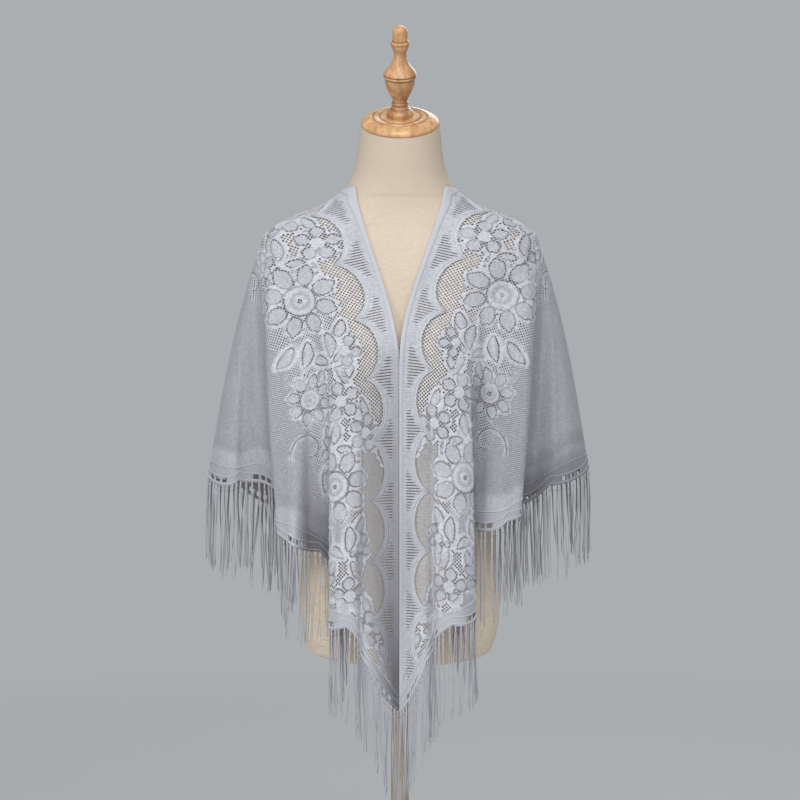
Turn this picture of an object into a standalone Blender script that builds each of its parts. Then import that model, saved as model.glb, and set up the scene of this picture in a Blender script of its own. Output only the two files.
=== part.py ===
"""A triangular lace shawl with a fringe, draped open-fronted over a limbless dress form on its stand.

Frame: metres, +Z up, the wearer's front towards -Y, the origin at the centre of the stand's flat underside.
The cloth is one triangle, worn with its long straight edge round the neck and down the front.
Each half of it is a sheet of meridians that start at the neck, follow the form to a support
on the bust or shoulder, and hang from there in straight lines to the hem.
Along the hem, share 0 is the front tip and share 1 is the point at the centre of the back.
"""

import math
from collections import namedtuple

import bmesh
import bpy
import numpy as np

# ---------------------------------------------------------------- driving sizes, in metres
FORM_BASE = 0.600  # height of the torso's flat underside above the floor
SEAM_GAP = 0.0003  # between pieces that are sewn to each other
CLOTH_THICK = 0.0012
BAND_THICK = 0.0018  # the dense knitted band along the neck and front edges
BAND_WIDTH = 0.026
CLOTH_CLEAR = 0.0022  # from the form's skin to the middle of the cloth

SCALLOPS_PER_SIDE = 13
SCALLOP_DROP = 0.009  # how far a scallop's middle hangs below its ends
LADDER_GAP = 0.0075  # width of an opening cut through the lace along the hem
LADDER_BAR = 0.0040  # the bar between two openings
LADDER_HEIGHT = 0.0060
LADDERS = 3  # openings at the middle of each scallop
LADDER_EDGE = 0.0050  # the plain edge below the openings

FRINGE_LENGTH = 0.120
STRAND_ROOT = 0.0018
STRAND_TIP = 0.0010
HEADER_HEIGHT = 0.0026  # the knotted cord that the strands hang from
HEADER_GAP = 0.0004  # from the cloth's edge to the header cord
KNOT_COLUMNS = (0, 1, 2, 3, 5, 6, 8, 9, 10)  # the hem columns of a scallop that hold a strand

POLE_RADIUS = 0.0125
STAND_RADIUS = 0.170
STAND_THICK = 0.022
NECK_TOP = 0.724  # height of the neck's top above the torso's underside
NECK_TILT = math.radians(23)  # the neck's top leans towards the front
FINIAL_HEIGHT = 0.125

YOKE_STEPS = 24  # samples along a meridian before it is resampled
HANG_STEPS = 40

# ---------------------------------------------------------------- the dress form's sections
# height above the torso's underside, half width, depth to the front, depth to the back, squareness
Section = namedtuple("Section", "height half_width front back square")
FORM_SECTIONS = [
    Section(0.000, 0.098, 0.070, 0.074, 2.3),
    Section(0.006, 0.116, 0.086, 0.090, 2.3),
    Section(0.020, 0.127, 0.095, 0.100, 2.3),
    Section(0.045, 0.1335, 0.100, 0.106, 2.3),
    Section(0.090, 0.136, 0.102, 0.108, 2.3),
    Section(0.150, 0.132, 0.098, 0.101, 2.2),
    Section(0.210, 0.120, 0.089, 0.087, 2.1),
    Section(0.255, 0.1135, 0.084, 0.078, 2.1),
    Section(0.300, 0.117, 0.087, 0.079, 2.1),
    Section(0.350, 0.129, 0.094, 0.086, 2.2),
    Section(0.400, 0.140, 0.098, 0.094, 2.3),
    Section(0.430, 0.146, 0.099, 0.097, 2.3),
    Section(0.460, 0.152, 0.096, 0.098, 2.3),
    Section(0.490, 0.162, 0.090, 0.096, 2.3),
    Section(0.520, 0.174, 0.083, 0.092, 2.3),
    Section(0.545, 0.183, 0.076, 0.086, 2.3),
    Section(0.560, 0.186, 0.071, 0.081, 2.3),
    Section(0.572, 0.183, 0.066, 0.076, 2.3),
    Section(0.582, 0.172, 0.061, 0.071, 2.2),
    Section(0.592, 0.156, 0.058, 0.067, 2.2),
    Section(0.602, 0.134, 0.055, 0.063, 2.1),
    Section(0.612, 0.110, 0.053, 0.060, 2.1),
    Section(0.622, 0.091, 0.052, 0.058, 2.0),
    Section(0.633, 0.077, 0.052, 0.057, 2.0),
    Section(0.648, 0.0675, 0.0515, 0.0560, 2.0),
    Section(0.670, 0.0605, 0.0510, 0.0535, 2.0),
    Section(0.700, 0.0562, 0.0505, 0.0515, 2.0),
    Section(NECK_TOP, 0.0535, 0.0500, 0.0505, 2.0),
]
BUST_HEIGHT, BUST_SPREAD = 0.428, 0.050
BUST_RISE, BUST_X, BUST_WIDTH = 0.017, 0.070, 0.048

# ---------------------------------------------------------------- the cloth's folds
# One row for each fold line, from the front edge round to the centre of the back.
# neck: the azimuth where it leaves the neck, swing: how early it turns towards its support,
# azimuth, height and lift: its support and how far that stands off the form,
# x, y, z: where it meets the hem (x outwards). The left front edge laps over the right one.
Fold = namedtuple("Fold", "name neck swing azimuth height lift x y z")
RIGHT_SIDE = [
    Fold("front_edge", 62, 1.9, 0.0, 1.006, 0.000, 0.0000, -0.1270, 0.549),
    Fold("crease_front", 64, 1.8, 19, 1.012, 0.000, 0.0450, -0.1400, 0.620),
    Fold("crease_inside", 65, 1.8, 22, 1.014, 0.000, 0.0520, -0.1320, 0.638),
    Fold("crease_back", 66, 1.8, 25, 1.016, 0.000, 0.0590, -0.1430, 0.659),
    Fold("panel_turn", 67, 1.7, 32, 1.020, 0.001, 0.0770, -0.1450, 0.666),
    Fold("panel_edge", 69, 1.6, 39, 1.028, 0.002, 0.0920, -0.1310, 0.668),
    Fold("first_valley", 71, 1.5, 45, 1.036, 0.000, 0.0740, -0.1120, 0.706),
    Fold("roll_start", 73, 1.4, 50, 1.050, 0.000, 0.0930, -0.0890, 0.747),
    Fold("shaded_slope", 74, 1.3, 54, 1.066, 0.000, 0.1165, -0.0940, 0.762),
    Fold("roll_front", 76, 1.3, 60, 1.090, 0.000, 0.1420, -0.1070, 0.775),
    Fold("roll_edge", 79, 1.2, 79, 1.148, 0.000, 0.1560, -0.0840, 0.781),
    Fold("roll_back", 82, 1.1, 84, 1.160, 0.000, 0.1550, -0.0400, 0.814),
    Fold("side_valley", 85, 1.0, 87, 1.163, 0.000, 0.1860, -0.0110, 0.848),
    Fold("outer_front", 88, 1.0, 90, 1.165, 0.000, 0.2240, -0.0300, 0.844),
    Fold("outer", 95, 1.0, 94, 1.165, 0.000, 0.2610, 0.0080, 0.850),
    Fold("outer_back", 108, 1.0, 102, 1.160, 0.000, 0.2390, 0.0660, 0.838),
    Fold("shoulder_valley", 118, 1.0, 114, 1.150, 0.000, 0.1950, 0.0880, 0.813),
    Fold("back_fold", 133, 1.0, 130, 1.142, 0.000, 0.1580, 0.1240, 0.784),
    Fold("back_valley", 146, 1.0, 145, 1.134, 0.000, 0.1140, 0.1230, 0.754),
    Fold("back_middle", 158, 1.0, 157, 1.130, 0.000, 0.0760, 0.1390, 0.724),
    Fold("back_centre", 180, 1.0, 180, 1.128, 0.000, 0.0000, 0.1330, 0.681),
]
LEFT_SIDE = [
    Fold("front_edge", 62, 1.9, -0.5, 1.018, 0.005, -0.0010, -0.1380, 0.550),
    Fold("crease_front", 64, 1.8, 16, 1.020, 0.002, 0.0370, -0.1460, 0.627),
    Fold("crease_inside", 65, 1.8, 19, 1.022, 0.002, 0.0435, -0.1360, 0.642),
    Fold("crease_back", 66, 1.8, 23, 1.024, 0.002, 0.0500, -0.1480, 0.661),
    Fold("panel_turn", 67, 1.7, 33, 1.028, 0.002, 0.0800, -0.1470, 0.671),
    Fold("panel_edge", 69, 1.6, 39, 1.032, 0.002, 0.0985, -0.1290, 0.682),
    Fold("first_valley", 71, 1.5, 45, 1.038, 0.000, 0.0740, -0.1120, 0.738),
    Fold("roll_start", 73, 1.4, 50, 1.050, 0.000, 0.0930, -0.0890, 0.792),
    Fold("roll_slope", 74, 1.3, 54, 1.066, 0.000, 0.1120, -0.1020, 0.793),
    Fold("roll_front", 76, 1.3, 60, 1.090, 0.000, 0.1330, -0.1080, 0.795),
    Fold("roll_edge", 79, 1.2, 79, 1.148, 0.000, 0.1550, -0.0850, 0.811),
    Fold("roll_back", 82, 1.1, 84, 1.160, 0.000, 0.1500, -0.0400, 0.819),
    Fold("side_valley", 85, 1.0, 87, 1.163, 0.000, 0.1750, -0.0080, 0.822),
    Fold("outer_front", 88, 1.0, 90, 1.165, 0.000, 0.2140, -0.0300, 0.845),
    Fold("outer", 95, 1.0, 94, 1.165, 0.000, 0.2570, 0.0120, 0.860),
    Fold("outer_back", 108, 1.0, 102, 1.160, 0.000, 0.2340, 0.0700, 0.852),
    Fold("shoulder_valley", 118, 1.0, 114, 1.150, 0.000, 0.1900, 0.0910, 0.822),
    Fold("back_fold", 133, 1.0, 130, 1.142, 0.000, 0.1540, 0.1260, 0.788),
    Fold("back_valley", 146, 1.0, 145, 1.134, 0.000, 0.1110, 0.1240, 0.756),
    Fold("back_middle", 158, 1.0, 157, 1.130, 0.000, 0.0740, 0.1400, 0.724),
    Fold("back_centre", 180, 1.0, 180, 1.128, 0.000, 0.0000, 0.1330, 0.681),
]
NECK_HEIGHT_FRONT, NECK_HEIGHT_BACK = 1.247, 1.224
HANG_BULGE = 0.009  # how far the hanging cloth bows outwards at the sides

# The stretches that show on each half, by the first and last of the half's 143 hem columns.
Stretch = namedtuple("Stretch", "name first last")
RIGHT_STRETCHES = [Stretch("front", 0, 66), Stretch("side", 66, 110), Stretch("back", 110, 143)]
LEFT_STRETCHES = [Stretch("front", 0, 64), Stretch("side", 64, 110), Stretch("back", 110, 143)]


# ---------------------------------------------------------------- curves through tables
def smooth_through(knots, values, at, steady=False):
    """A cubic curve through values at knots, read at the places in at; steady never overshoots."""
    knots, values, at = (np.asarray(a, float) for a in (knots, values, at))
    slopes = np.gradient(values, knots)
    if steady:
        rises = np.diff(values) / np.diff(knots)
        before, after = np.append(rises[:1], rises), np.append(rises, rises[-1:])
        limit = 3 * np.minimum(np.abs(before), np.abs(after)) * (before * after > 0)
        slopes = np.clip(slopes, -limit, limit)
    i = np.clip(np.searchsorted(knots, at, side="right") - 1, 0, len(knots) - 2)
    width = knots[i + 1] - knots[i]
    t = (at - knots[i]) / width
    return (
        (2 * t**3 - 3 * t**2 + 1) * values[i]
        + (t**3 - 2 * t**2 + t) * width * slopes[i]
        + (3 * t**2 - 2 * t**3) * values[i + 1]
        + (t**3 - t**2) * width * slopes[i + 1]
    )


def section_at(height, column):
    heights = [s.height for s in FORM_SECTIONS]
    values = [getattr(s, column) for s in FORM_SECTIONS]
    return smooth_through(heights, values, np.clip(height, heights[0], heights[-1]))


def form_radius(azimuth, z, bridged=False):
    """Distance from the axis to the form's skin; bridged spans the hollow between the busts."""
    height = np.asarray(z, float) - FORM_BASE
    sine, cosine = np.sin(azimuth), np.cos(azimuth)
    square = section_at(height, "square")
    depth = np.where(cosine > 0, section_at(height, "front"), section_at(height, "back"))
    radius = (
        np.abs(sine / section_at(height, "half_width")) ** square + np.abs(cosine / depth) ** square
    ) ** (-1 / square)
    across = np.abs(radius * sine) - BUST_X
    if bridged:
        across = np.maximum(across, 0)
    lobe = np.exp(-((across / BUST_WIDTH) ** 2)) * np.clip(cosine, 0, 1) ** 0.5
    return radius + BUST_RISE * lobe * np.exp(-(((height - BUST_HEIGHT) / BUST_SPREAD) ** 2))


def pushed_clear(points, clear):
    """Points nearer the form's skin than clear are moved straight out of it."""
    step = 1e-4
    for _ in range(4):
        azimuth = np.arctan2(np.abs(points[..., 0]), -points[..., 1])
        z = points[..., 2]
        radius = form_radius(azimuth, z, bridged=True)
        slope_z = (form_radius(azimuth, z + step, True) - radius) / step
        slope_a = (form_radius(azimuth + step, z, True) - radius) / step / np.maximum(radius, 1e-3)
        out = np.stack([points[..., 0], points[..., 1]], -1)
        reach = np.linalg.norm(out, axis=-1)
        out = out / np.maximum(reach, 1e-6)[..., None]
        around = np.stack([-out[..., 1], out[..., 0]], -1) * np.sign(points[..., 0])[..., None]
        size = np.sqrt(1 + slope_z**2 + slope_a**2)
        short = np.maximum(clear - (reach - radius) / size, 0) / size
        flat = out - slope_a[..., None] * around
        points = points + np.concatenate([flat, -slope_z[..., None]], -1) * short[..., None]
    return points


# ---------------------------------------------------------------- the draped half
class Half:
    """One half of the shawl: side is 1 for the wearer's left (+X) and -1 for the right."""

    def __init__(self, side, folds):
        self.side, self.folds = side, folds
        hem = np.array([(f.x, f.y, f.z) for f in folds])
        # A provisional curve gives the arc length, which then places the folds by hem share.
        rough = np.linspace(0, 1, len(folds))
        fine = np.linspace(0, 1, 600)
        curve = np.stack([smooth_through(rough, hem[:, k], fine) for k in range(3)], -1)
        run = np.concatenate([[0], np.cumsum(np.linalg.norm(np.diff(curve, axis=0), axis=1))])
        self.hem_length = run[-1]
        self.knots = np.interp(rough, fine, run / run[-1])

    def column(self, name, share):
        steady = name not in ("x", "y", "z")
        return smooth_through(self.knots, [getattr(f, name) for f in self.folds], share, steady)

    def meridians(self, shares):
        """Points (share, step, xyz) from the neck to the hem's line, evenly spaced along each."""
        shares = np.atleast_1d(shares)
        f = np.linspace(0, 1, YOKE_STEPS)[None, :]
        neck = np.radians(self.column("neck", shares))[:, None]
        support = np.radians(self.column("azimuth", shares))[:, None]
        swing = self.column("swing", shares)[:, None]
        round_back = (1 - np.cos(neck)) / 2
        top = NECK_HEIGHT_FRONT + (NECK_HEIGHT_BACK - NECK_HEIGHT_FRONT) * round_back
        z = top + (self.column("height", shares)[:, None] - top) * f
        azimuth = support + (neck - support) * (1 - f) ** swing
        lift = self.column("lift", shares)[:, None] * f
        radius = form_radius(azimuth, z, bridged=True) + CLOTH_CLEAR + lift
        yoke = np.stack([radius * np.sin(azimuth), -radius * np.cos(azimuth), z], -1)
        hem = np.stack([self.column(k, shares) for k in "xyz"], -1)
        g = np.linspace(0, 1, HANG_STEPS + 1)[1:][None, :, None]
        hang = yoke[:, -1:] + (hem[:, None] - yoke[:, -1:]) * g
        outwards = np.clip(np.sin(support[..., None]), 0, 1) ** 3
        hang[..., :1] += HANG_BULGE * outwards * np.sin(np.pi * g**0.75)
        line = evened(np.concatenate([yoke, hang], axis=1), 64)
        line = softened(line, 4)
        return evened(pushed_clear(line, CLOTH_CLEAR), 64)

    def yoke_lengths(self, shares):
        """Distance down each meridian from the neck to its support on the form."""
        line = self.meridians(shares)
        ends = self.column("height", shares)[:, None]
        steps = np.linalg.norm(np.diff(line, axis=1), axis=-1)
        return (steps * (line[:, 1:, 2] > ends)).sum(1)

    def surface(self, shares, fractions):
        """A grid of points; fractions may be one row or one row for each share."""
        line = self.meridians(shares)
        fractions = np.broadcast_to(fractions, (len(line), np.shape(fractions)[-1]))
        places = np.linspace(0, 1, line.shape[1])
        grid = np.stack(
            [
                np.stack([extended(places, one[:, k], at) for k in range(3)], -1)
                for one, at in zip(line, fractions)
            ]
        )
        grid[..., 0] *= self.side
        return grid

    def lengths(self, shares):
        line = self.meridians(shares)
        return np.linalg.norm(np.diff(line, axis=1), axis=-1).sum(1)


def extended(places, values, at):
    """np.interp that runs on in a straight line past the last place."""
    inside = np.interp(at, places, values)
    slope = (values[-1] - values[-3]) / (places[-1] - places[-3])
    return np.where(at > 1, values[-1] + (at - 1) * slope, inside)


def evened(lines, count):
    """Each line of points again, with count points at equal distances along it."""
    result = np.empty((len(lines), count, 3))
    for i, line in enumerate(lines):
        run = np.concatenate([[0], np.cumsum(np.linalg.norm(np.diff(line, axis=0), axis=1))])
        at = np.linspace(0, run[-1], count)
        result[i] = np.stack([np.interp(at, run, line[:, k]) for k in range(3)], -1)
    return result


def softened(lines, rounds):
    """Rounds off the turn at the support; both ends stay where they are."""
    for _ in range(rounds):
        lines[:, 1:-1] = (lines[:, :-2] + 2 * lines[:, 1:-1] + lines[:, 2:]) / 4
    return lines


def unit(vectors):
    return vectors / np.maximum(np.linalg.norm(vectors, axis=-1, keepdims=True), 1e-9)


# ---------------------------------------------------------------- meshes
def new_object(name, mesh, material, collection):
    thing = bpy.data.objects.new(name, mesh)
    mesh.materials.append(material)
    collection.objects.link(thing)
    return thing


def finished_mesh(name, shape):
    """A mesh from a closed bmesh, with its faces turned outwards."""
    bmesh.ops.recalc_face_normals(shape, faces=shape.faces)
    if shape.calc_volume(signed=True) < 0:
        bmesh.ops.reverse_faces(shape, faces=shape.faces)
    mesh = bpy.data.meshes.new(name)
    shape.to_mesh(mesh)
    shape.free()
    return mesh


def turned_object(name, profile, material, collection, segments=20):
    """A solid turned about Z from (radius, height) points that run from the top to the bottom."""
    mesh = bpy.data.meshes.new(name)
    points = [(r, 0, z) for r, z in profile]
    mesh.from_pydata(points, [(i, i + 1) for i in range(len(points) - 1)], [])
    thing = new_object(name, mesh, material, collection)
    screw = thing.modifiers.new("turn", "SCREW")
    screw.steps = screw.render_steps = segments
    screw.use_merge_vertices = True
    screw.merge_threshold = 0.00005
    screw.use_smooth_shade = True
    return thing


def fabric(name, colour, roughness=0.85):
    return plain_material(name, colour, roughness, 0.0)


def plain_material(name, colour, roughness, metallic):
    material = bpy.data.materials.new(name)
    material.use_nodes = True
    shader = material.node_tree.nodes["Principled BSDF"]
    shader.inputs["Base Color"].default_value = (*colour, 1)
    shader.inputs["Roughness"].default_value = roughness
    shader.inputs["Metallic"].default_value = metallic
    return material


# ---------------------------------------------------------------- the dress form
TORSO_SIDES = 32


def build_torso(material, collection):
    """The linen-covered torso, lofted through its sections, with a slanted neck top."""
    azimuths = np.linspace(0, 2 * math.pi, TORSO_SIDES, endpoint=False)
    top = FORM_SECTIONS[-1].height
    shape = bmesh.new()
    rings = []
    for section in FORM_SECTIONS:
        radius = form_radius(azimuths, np.full_like(azimuths, section.height + FORM_BASE))
        lean = np.clip((section.height - 0.640) / (top - 0.640), 0, 1)
        ring = []
        for azimuth, r in zip(azimuths, radius):
            x, y = r * math.sin(azimuth), -r * math.cos(azimuth)
            z = FORM_BASE + section.height + lean * math.tan(NECK_TILT) * y
            ring.append(shape.verts.new((x, y, z)))
        rings.append(ring)
    for low, high in zip(rings, rings[1:]):
        for i in range(TORSO_SIDES):
            k = (i + 1) % TORSO_SIDES
            shape.faces.new([low[i], low[k], high[k], high[i]])
    shape.faces.new(reversed(rings[0]))
    shape.faces.new(rings[-1])
    mesh = finished_mesh("torso", shape)
    mesh.shade_smooth()
    return new_object("torso", mesh, material, collection)


def build_neck_wood(material, collection):
    """The wooden neck cap and the turned finial above it, both square to the slanted neck top."""
    top = 0.0125
    cap = [(0, top), (0.0280, top), (0.0300, 0.0112), (0.0395, 0.0102), (0.0410, 0.0085)]
    cap += [(0.0470, 0.0078), (0.0512, 0.0054), (0.0525, 0.0026), (0.0515, 0.0005), (0.0490, 0), (0, 0)]
    finial = [(0, 0.1317), (0.0050, 0.1308), (0.0085, 0.1280), (0.0101, 0.1230), (0.0099, 0.1100)]
    finial += [(0.0124, 0.1090), (0.0130, 0.1070), (0.0122, 0.1050), (0.0112, 0.0995)]
    finial += [(0.0092, 0.0955), (0.0084, 0.0925), (0.0092, 0.0840), (0.0124, 0.0760)]
    finial += [(0.0180, 0.0685), (0.0216, 0.0630), (0.0225, 0.0600), (0.0216, 0.0573)]
    finial += [(0.0205, 0.0555), (0.0200, 0.0490), (0.0175, 0.0405), (0.0133, 0.0310)]
    finial += [(0.0100, 0.0235), (0.0098, 0.0210), (0.0114, 0.0190), (0.0104, 0.0160)]
    finial += [(0.0114, 0.0130), (0.0118, 0.0105), (0.0155, 0.0082), (0.0180, 0.0040), (0.0180, 0), (0, 0)]
    finial = [(r, FINIAL_HEIGHT * z / finial[0][1] + top + SEAM_GAP) for r, z in finial]
    foot = FORM_BASE + NECK_TOP + SEAM_GAP
    pieces = []
    for name, profile in (("neck_cap", cap), ("finial", finial)):
        piece = turned_object(name, profile, material, collection)
        piece.location = (0, 0, foot)
        piece.rotation_euler = (NECK_TILT, 0, 0)
        pieces.append(piece)
    return pieces


def build_stand(wood, collection):
    """A wooden pole under the torso, held in a round foot, with a collar at each end."""
    foot_top = STAND_THICK
    base = [(0, foot_top), (STAND_RADIUS - 0.012, foot_top), (STAND_RADIUS - 0.004, foot_top - 0.003)]
    base += [(STAND_RADIUS, foot_top - 0.008), (STAND_RADIUS, 0.003), (STAND_RADIUS - 0.003, 0), (0, 0)]
    turned_object("stand_foot", base, wood, collection, segments=40)
    low, high = foot_top + SEAM_GAP, FORM_BASE - SEAM_GAP
    pole = [(0, high), (0.036, high), (0.036, high - 0.006), (0.020, high - 0.012)]
    pole += [(0.0175, high - 0.030), (POLE_RADIUS, high - 0.034), (POLE_RADIUS, low + 0.040)]
    pole += [(0.019, low + 0.034), (0.021, low + 0.012), (0.034, low + 0.006), (0.034, low), (0, low)]
    turned_object("pole", pole, wood, collection, segments=16)


# ---------------------------------------------------------------- the cloth
# Rows of the cloth: shares of the way from the neck to the support, then on to the openings.
YOKE_ROWS = [0, 0.13, 0.27, 0.41, 0.55, 0.68, 0.8, 0.9, 1]
HANG_ROWS = [0.07, 0.25, 0.6, 0.94]
SPARSE_ROWS = 3  # the first rows, where the meridians run close together
PERIOD = 11  # hem columns in a scallop; only some of them run further up the cloth
USUAL_COLUMNS, SPARSE_COLUMNS = (0, 2, 4, 7, 9), (0, 4)


def hem_drop(shares):
    """How far the scalloped edge hangs below the hem's line."""
    return SCALLOP_DROP * np.sin(np.pi * ((shares * SCALLOPS_PER_SIDE) % 1.0)) ** 0.8


def hem_columns(half):
    """Hem shares of a half's columns, and whether each cell along the hem is open."""
    pitch = half.hem_length / SCALLOPS_PER_SIDE
    plain = (pitch - LADDERS * LADDER_GAP - (LADDERS - 1) * LADDER_BAR) / 2 / 3
    ladder = ([LADDER_GAP, LADDER_BAR] * LADDERS)[:-1]
    widths = [plain] * 3 + ladder + [plain] * 3
    opened = [width == LADDER_GAP for width in widths] * SCALLOPS_PER_SIDE
    shares = np.concatenate([[0], np.cumsum(widths * SCALLOPS_PER_SIDE)]) / half.hem_length
    return shares, opened


def joined_rows(shape, upper, lower):
    """Faces between two rows of {column: vert}; the lower row may have more columns."""
    columns = sorted(upper)
    for a, b in zip(columns, columns[1:]):
        between = [c for c in sorted(lower) if a <= c <= b]
        if len(between) == 2:
            shape.faces.new([upper[a], lower[a], lower[b], upper[b]])
            continue
        middle = between[len(between) // 2]
        for c, d in zip(between, between[1:]):
            shape.faces.new([upper[a if d <= middle else b], lower[c], lower[d]])
        shape.faces.new([upper[a], lower[middle], upper[b]])


def parted(grid, first, last, gap=SEAM_GAP):
    """Draws a stretch's end columns in by half a gap, where it meets the next stretch."""
    grid = grid.copy()
    if first:
        grid[0] += unit(grid[1] - grid[0]) * gap / 2
    if last:
        grid[-1] += unit(grid[-2] - grid[-1]) * gap / 2
    return grid


def build_cloth(name, half, stretch, material, collection):
    """A sheet down to the openings along the hem, then the openings and the plain edge."""
    all_shares, opened = hem_columns(half)
    picked = range(stretch.first, stretch.last + 1)
    usual = [i for i in picked if i % PERIOD in USUAL_COLUMNS]
    sparse = [i for i in picked if i % PERIOD in SPARSE_COLUMNS or i in (picked[0], picked[-1])]
    shares = all_shares[picked[0] : picked[-1] + 1]
    lengths = half.lengths(shares)[:, None]
    bottom = lengths + hem_drop(shares)[:, None]
    heights = np.array([LADDER_HEIGHT + LADDER_EDGE, LADDER_EDGE, 0])
    yoke = half.yoke_lengths(shares)[:, None]
    hang = yoke + (bottom - heights[0] - yoke) * HANG_ROWS
    fractions = np.concatenate([yoke * YOKE_ROWS, hang, bottom - heights], axis=1) / lengths
    grid = parted(half.surface(shares, fractions), stretch.first > 0, True)
    edge_near = half.surface([0.0], fractions[:1])[0]

    shape = bmesh.new()
    upper_rows = len(YOKE_ROWS) + len(HANG_ROWS)
    rows = []
    for j in range(upper_rows + len(heights)):
        columns = sparse if j < SPARSE_ROWS else usual if j < upper_rows else picked
        rows.append({i: shape.verts.new(grid[i - picked[0], j]) for i in columns})
    for upper, lower in zip(rows[:upper_rows], rows[1:]):
        joined_rows(shape, upper, lower)
    top, sill, edge = rows[upper_rows:]
    for i in picked[:-1]:
        if not opened[i]:
            shape.faces.new([top[i], sill[i], sill[i + 1], top[i + 1]])
        shape.faces.new([sill[i], edge[i], edge[i + 1], sill[i + 1]])
    bmesh.ops.recalc_face_normals(shape, faces=shape.faces)
    shape.verts.index_update()
    banded = [
        vert.index
        for vert in shape.verts
        if np.linalg.norm(edge_near - np.array(vert.co), axis=1).min() < BAND_WIDTH
        or vert in rows[0].values()
        or vert in rows[1].values()
    ]
    mesh = bpy.data.meshes.new(name)
    shape.to_mesh(mesh)
    shape.free()
    mesh.shade_smooth()
    thing = new_object(name, mesh, material, collection)
    group = thing.vertex_groups.new(name="wall")
    group.add(range(len(mesh.vertices)), CLOTH_THICK / BAND_THICK, "REPLACE")
    group.add(banded, 1.0, "REPLACE")
    wall = thing.modifiers.new("wall", "SOLIDIFY")
    wall.thickness = BAND_THICK
    wall.offset = 0
    wall.vertex_group = "wall"
    return thing


# ---------------------------------------------------------------- the fringe
def strand_length(number):
    """Strands are cut by eye, so their lengths differ a little, the same way each run."""
    return FRINGE_LENGTH * (1 + 0.10 * math.sin(number * 2.4) * math.cos(number * 0.7))


def build_fringe(name, half, stretch, material, collection):
    """A three-sided header cord along the hem, with strands drawn down from its outer edge."""
    shares = hem_columns(half)[0][stretch.first : stretch.last + 1]
    lengths = half.lengths(shares)
    fractions = (np.array([lengths - 0.004, lengths]) + hem_drop(shares)) / lengths
    grid = parted(half.surface(shares, fractions.T), stretch.first > 0, True, 2 * SEAM_GAP)
    hem = grid[:, 1]
    steps = unit(np.diff(hem, axis=0))
    along = unit(np.concatenate([steps[:1], steps]) + np.concatenate([steps, steps[-1:]]))
    down = unit(hem - grid[:, 0])
    along[[0, -1]] -= down[[0, -1]] * (down * along).sum(-1, keepdims=True)[[0, -1]]
    away = unit(down - along * (down * along).sum(-1, keepdims=True))
    out = unit(np.cross(along, away)) * -half.side
    low = hem + away * (HEADER_GAP + HEADER_HEIGHT)
    knots = [k for k in range(1, len(shares) - 1) if (k + stretch.first) % PERIOD in KNOT_COLUMNS]

    shape = bmesh.new()
    tops = [shape.verts.new(p) for p in hem + away * HEADER_GAP]
    inner = [shape.verts.new(p) for p in low - out * STRAND_ROOT / 2]
    outer = []
    for k, point in enumerate(low + out * STRAND_ROOT / 2):
        ends = (-along[k], along[k]) if k in knots else (0 * along[k],)
        outer.append([shape.verts.new(point + end * STRAND_ROOT / 2) for end in ends])
    for k in range(len(shares) - 1):
        a, b = outer[k][-1], outer[k + 1][0]
        shape.faces.new([tops[k], tops[k + 1], b, a])
        shape.faces.new([inner[k], inner[k + 1], tops[k + 1], tops[k]])
        shape.faces.new([a, b, inner[k + 1], inner[k]])
    shape.faces.new([tops[0], outer[0][0], inner[0]])
    shape.faces.new([tops[-1], inner[-1], outer[-1][0]])
    for k in knots:
        shape.faces.new([tops[k], outer[k][1], outer[k][0]])
        ring = [outer[k][0], outer[k][1], inner[k]]
        number = k + stretch.first
        end_point = low[k] + [0.0012 * math.sin(number * 1.7), 0.0012 * math.cos(number), 0]
        end_point[2] -= strand_length(number)
        flat_along, flat_out = unit(np.array([along[k], out[k]]) * [1, 1, 0]) * STRAND_TIP / 2
        corners = [flat_out - flat_along, flat_out + flat_along, -flat_out]
        tip = [shape.verts.new(end_point + corner) for corner in corners]
        for a in range(3):
            b = (a + 1) % 3
            shape.faces.new([ring[a], ring[b], tip[b], tip[a]])
        shape.faces.new(tip)
    return new_object(name, finished_mesh(name, shape), material, collection)


def build_half(word, half, stretches, yarn, collection):
    for stretch in stretches:
        build_cloth(f"cloth_{stretch.name}_{word}", half, stretch, yarn, collection)
        build_fringe(f"fringe_{stretch.name}_{word}", half, stretch, yarn, collection)


def main():
    for thing in list(bpy.data.objects):
        bpy.data.objects.remove(thing)
    collection = bpy.data.collections.new("lace_shawl")
    bpy.context.scene.collection.children.link(collection)
    linen = fabric("linen", (0.78, 0.70, 0.58))
    yarn = fabric("lace_yarn", (0.50, 0.53, 0.60), 0.7)
    wood = plain_material("turned_wood", (0.62, 0.36, 0.16), 0.4, 0.0)
    build_torso(linen, collection)
    build_neck_wood(wood, collection)
    build_stand(wood, collection)
    build_half("right", Half(-1, RIGHT_SIDE), RIGHT_STRETCHES, yarn, collection)
    build_half("left", Half(1, LEFT_SIDE), LEFT_STRETCHES, yarn, collection)


main()
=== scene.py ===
"""The looks of a triangular lace shawl, draped open-fronted over a linen dress form on its wooden stand.

Frame: metres, +Z up, the wearer's front towards -Y, the origin at the centre of the stand's underside.
The shawl is one triangle of lace. Each half is flattened back onto the triangle that it was cut from,
the lace is laid out there cell by cell, and then carried onto the drape.
On the flat cut, x runs along the long edge from the centre of the back, and y down from that edge.
"""

import math
from collections import namedtuple

import bpy
import numpy as np
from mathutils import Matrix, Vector
from mathutils.bvhtree import BVHTree


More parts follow.
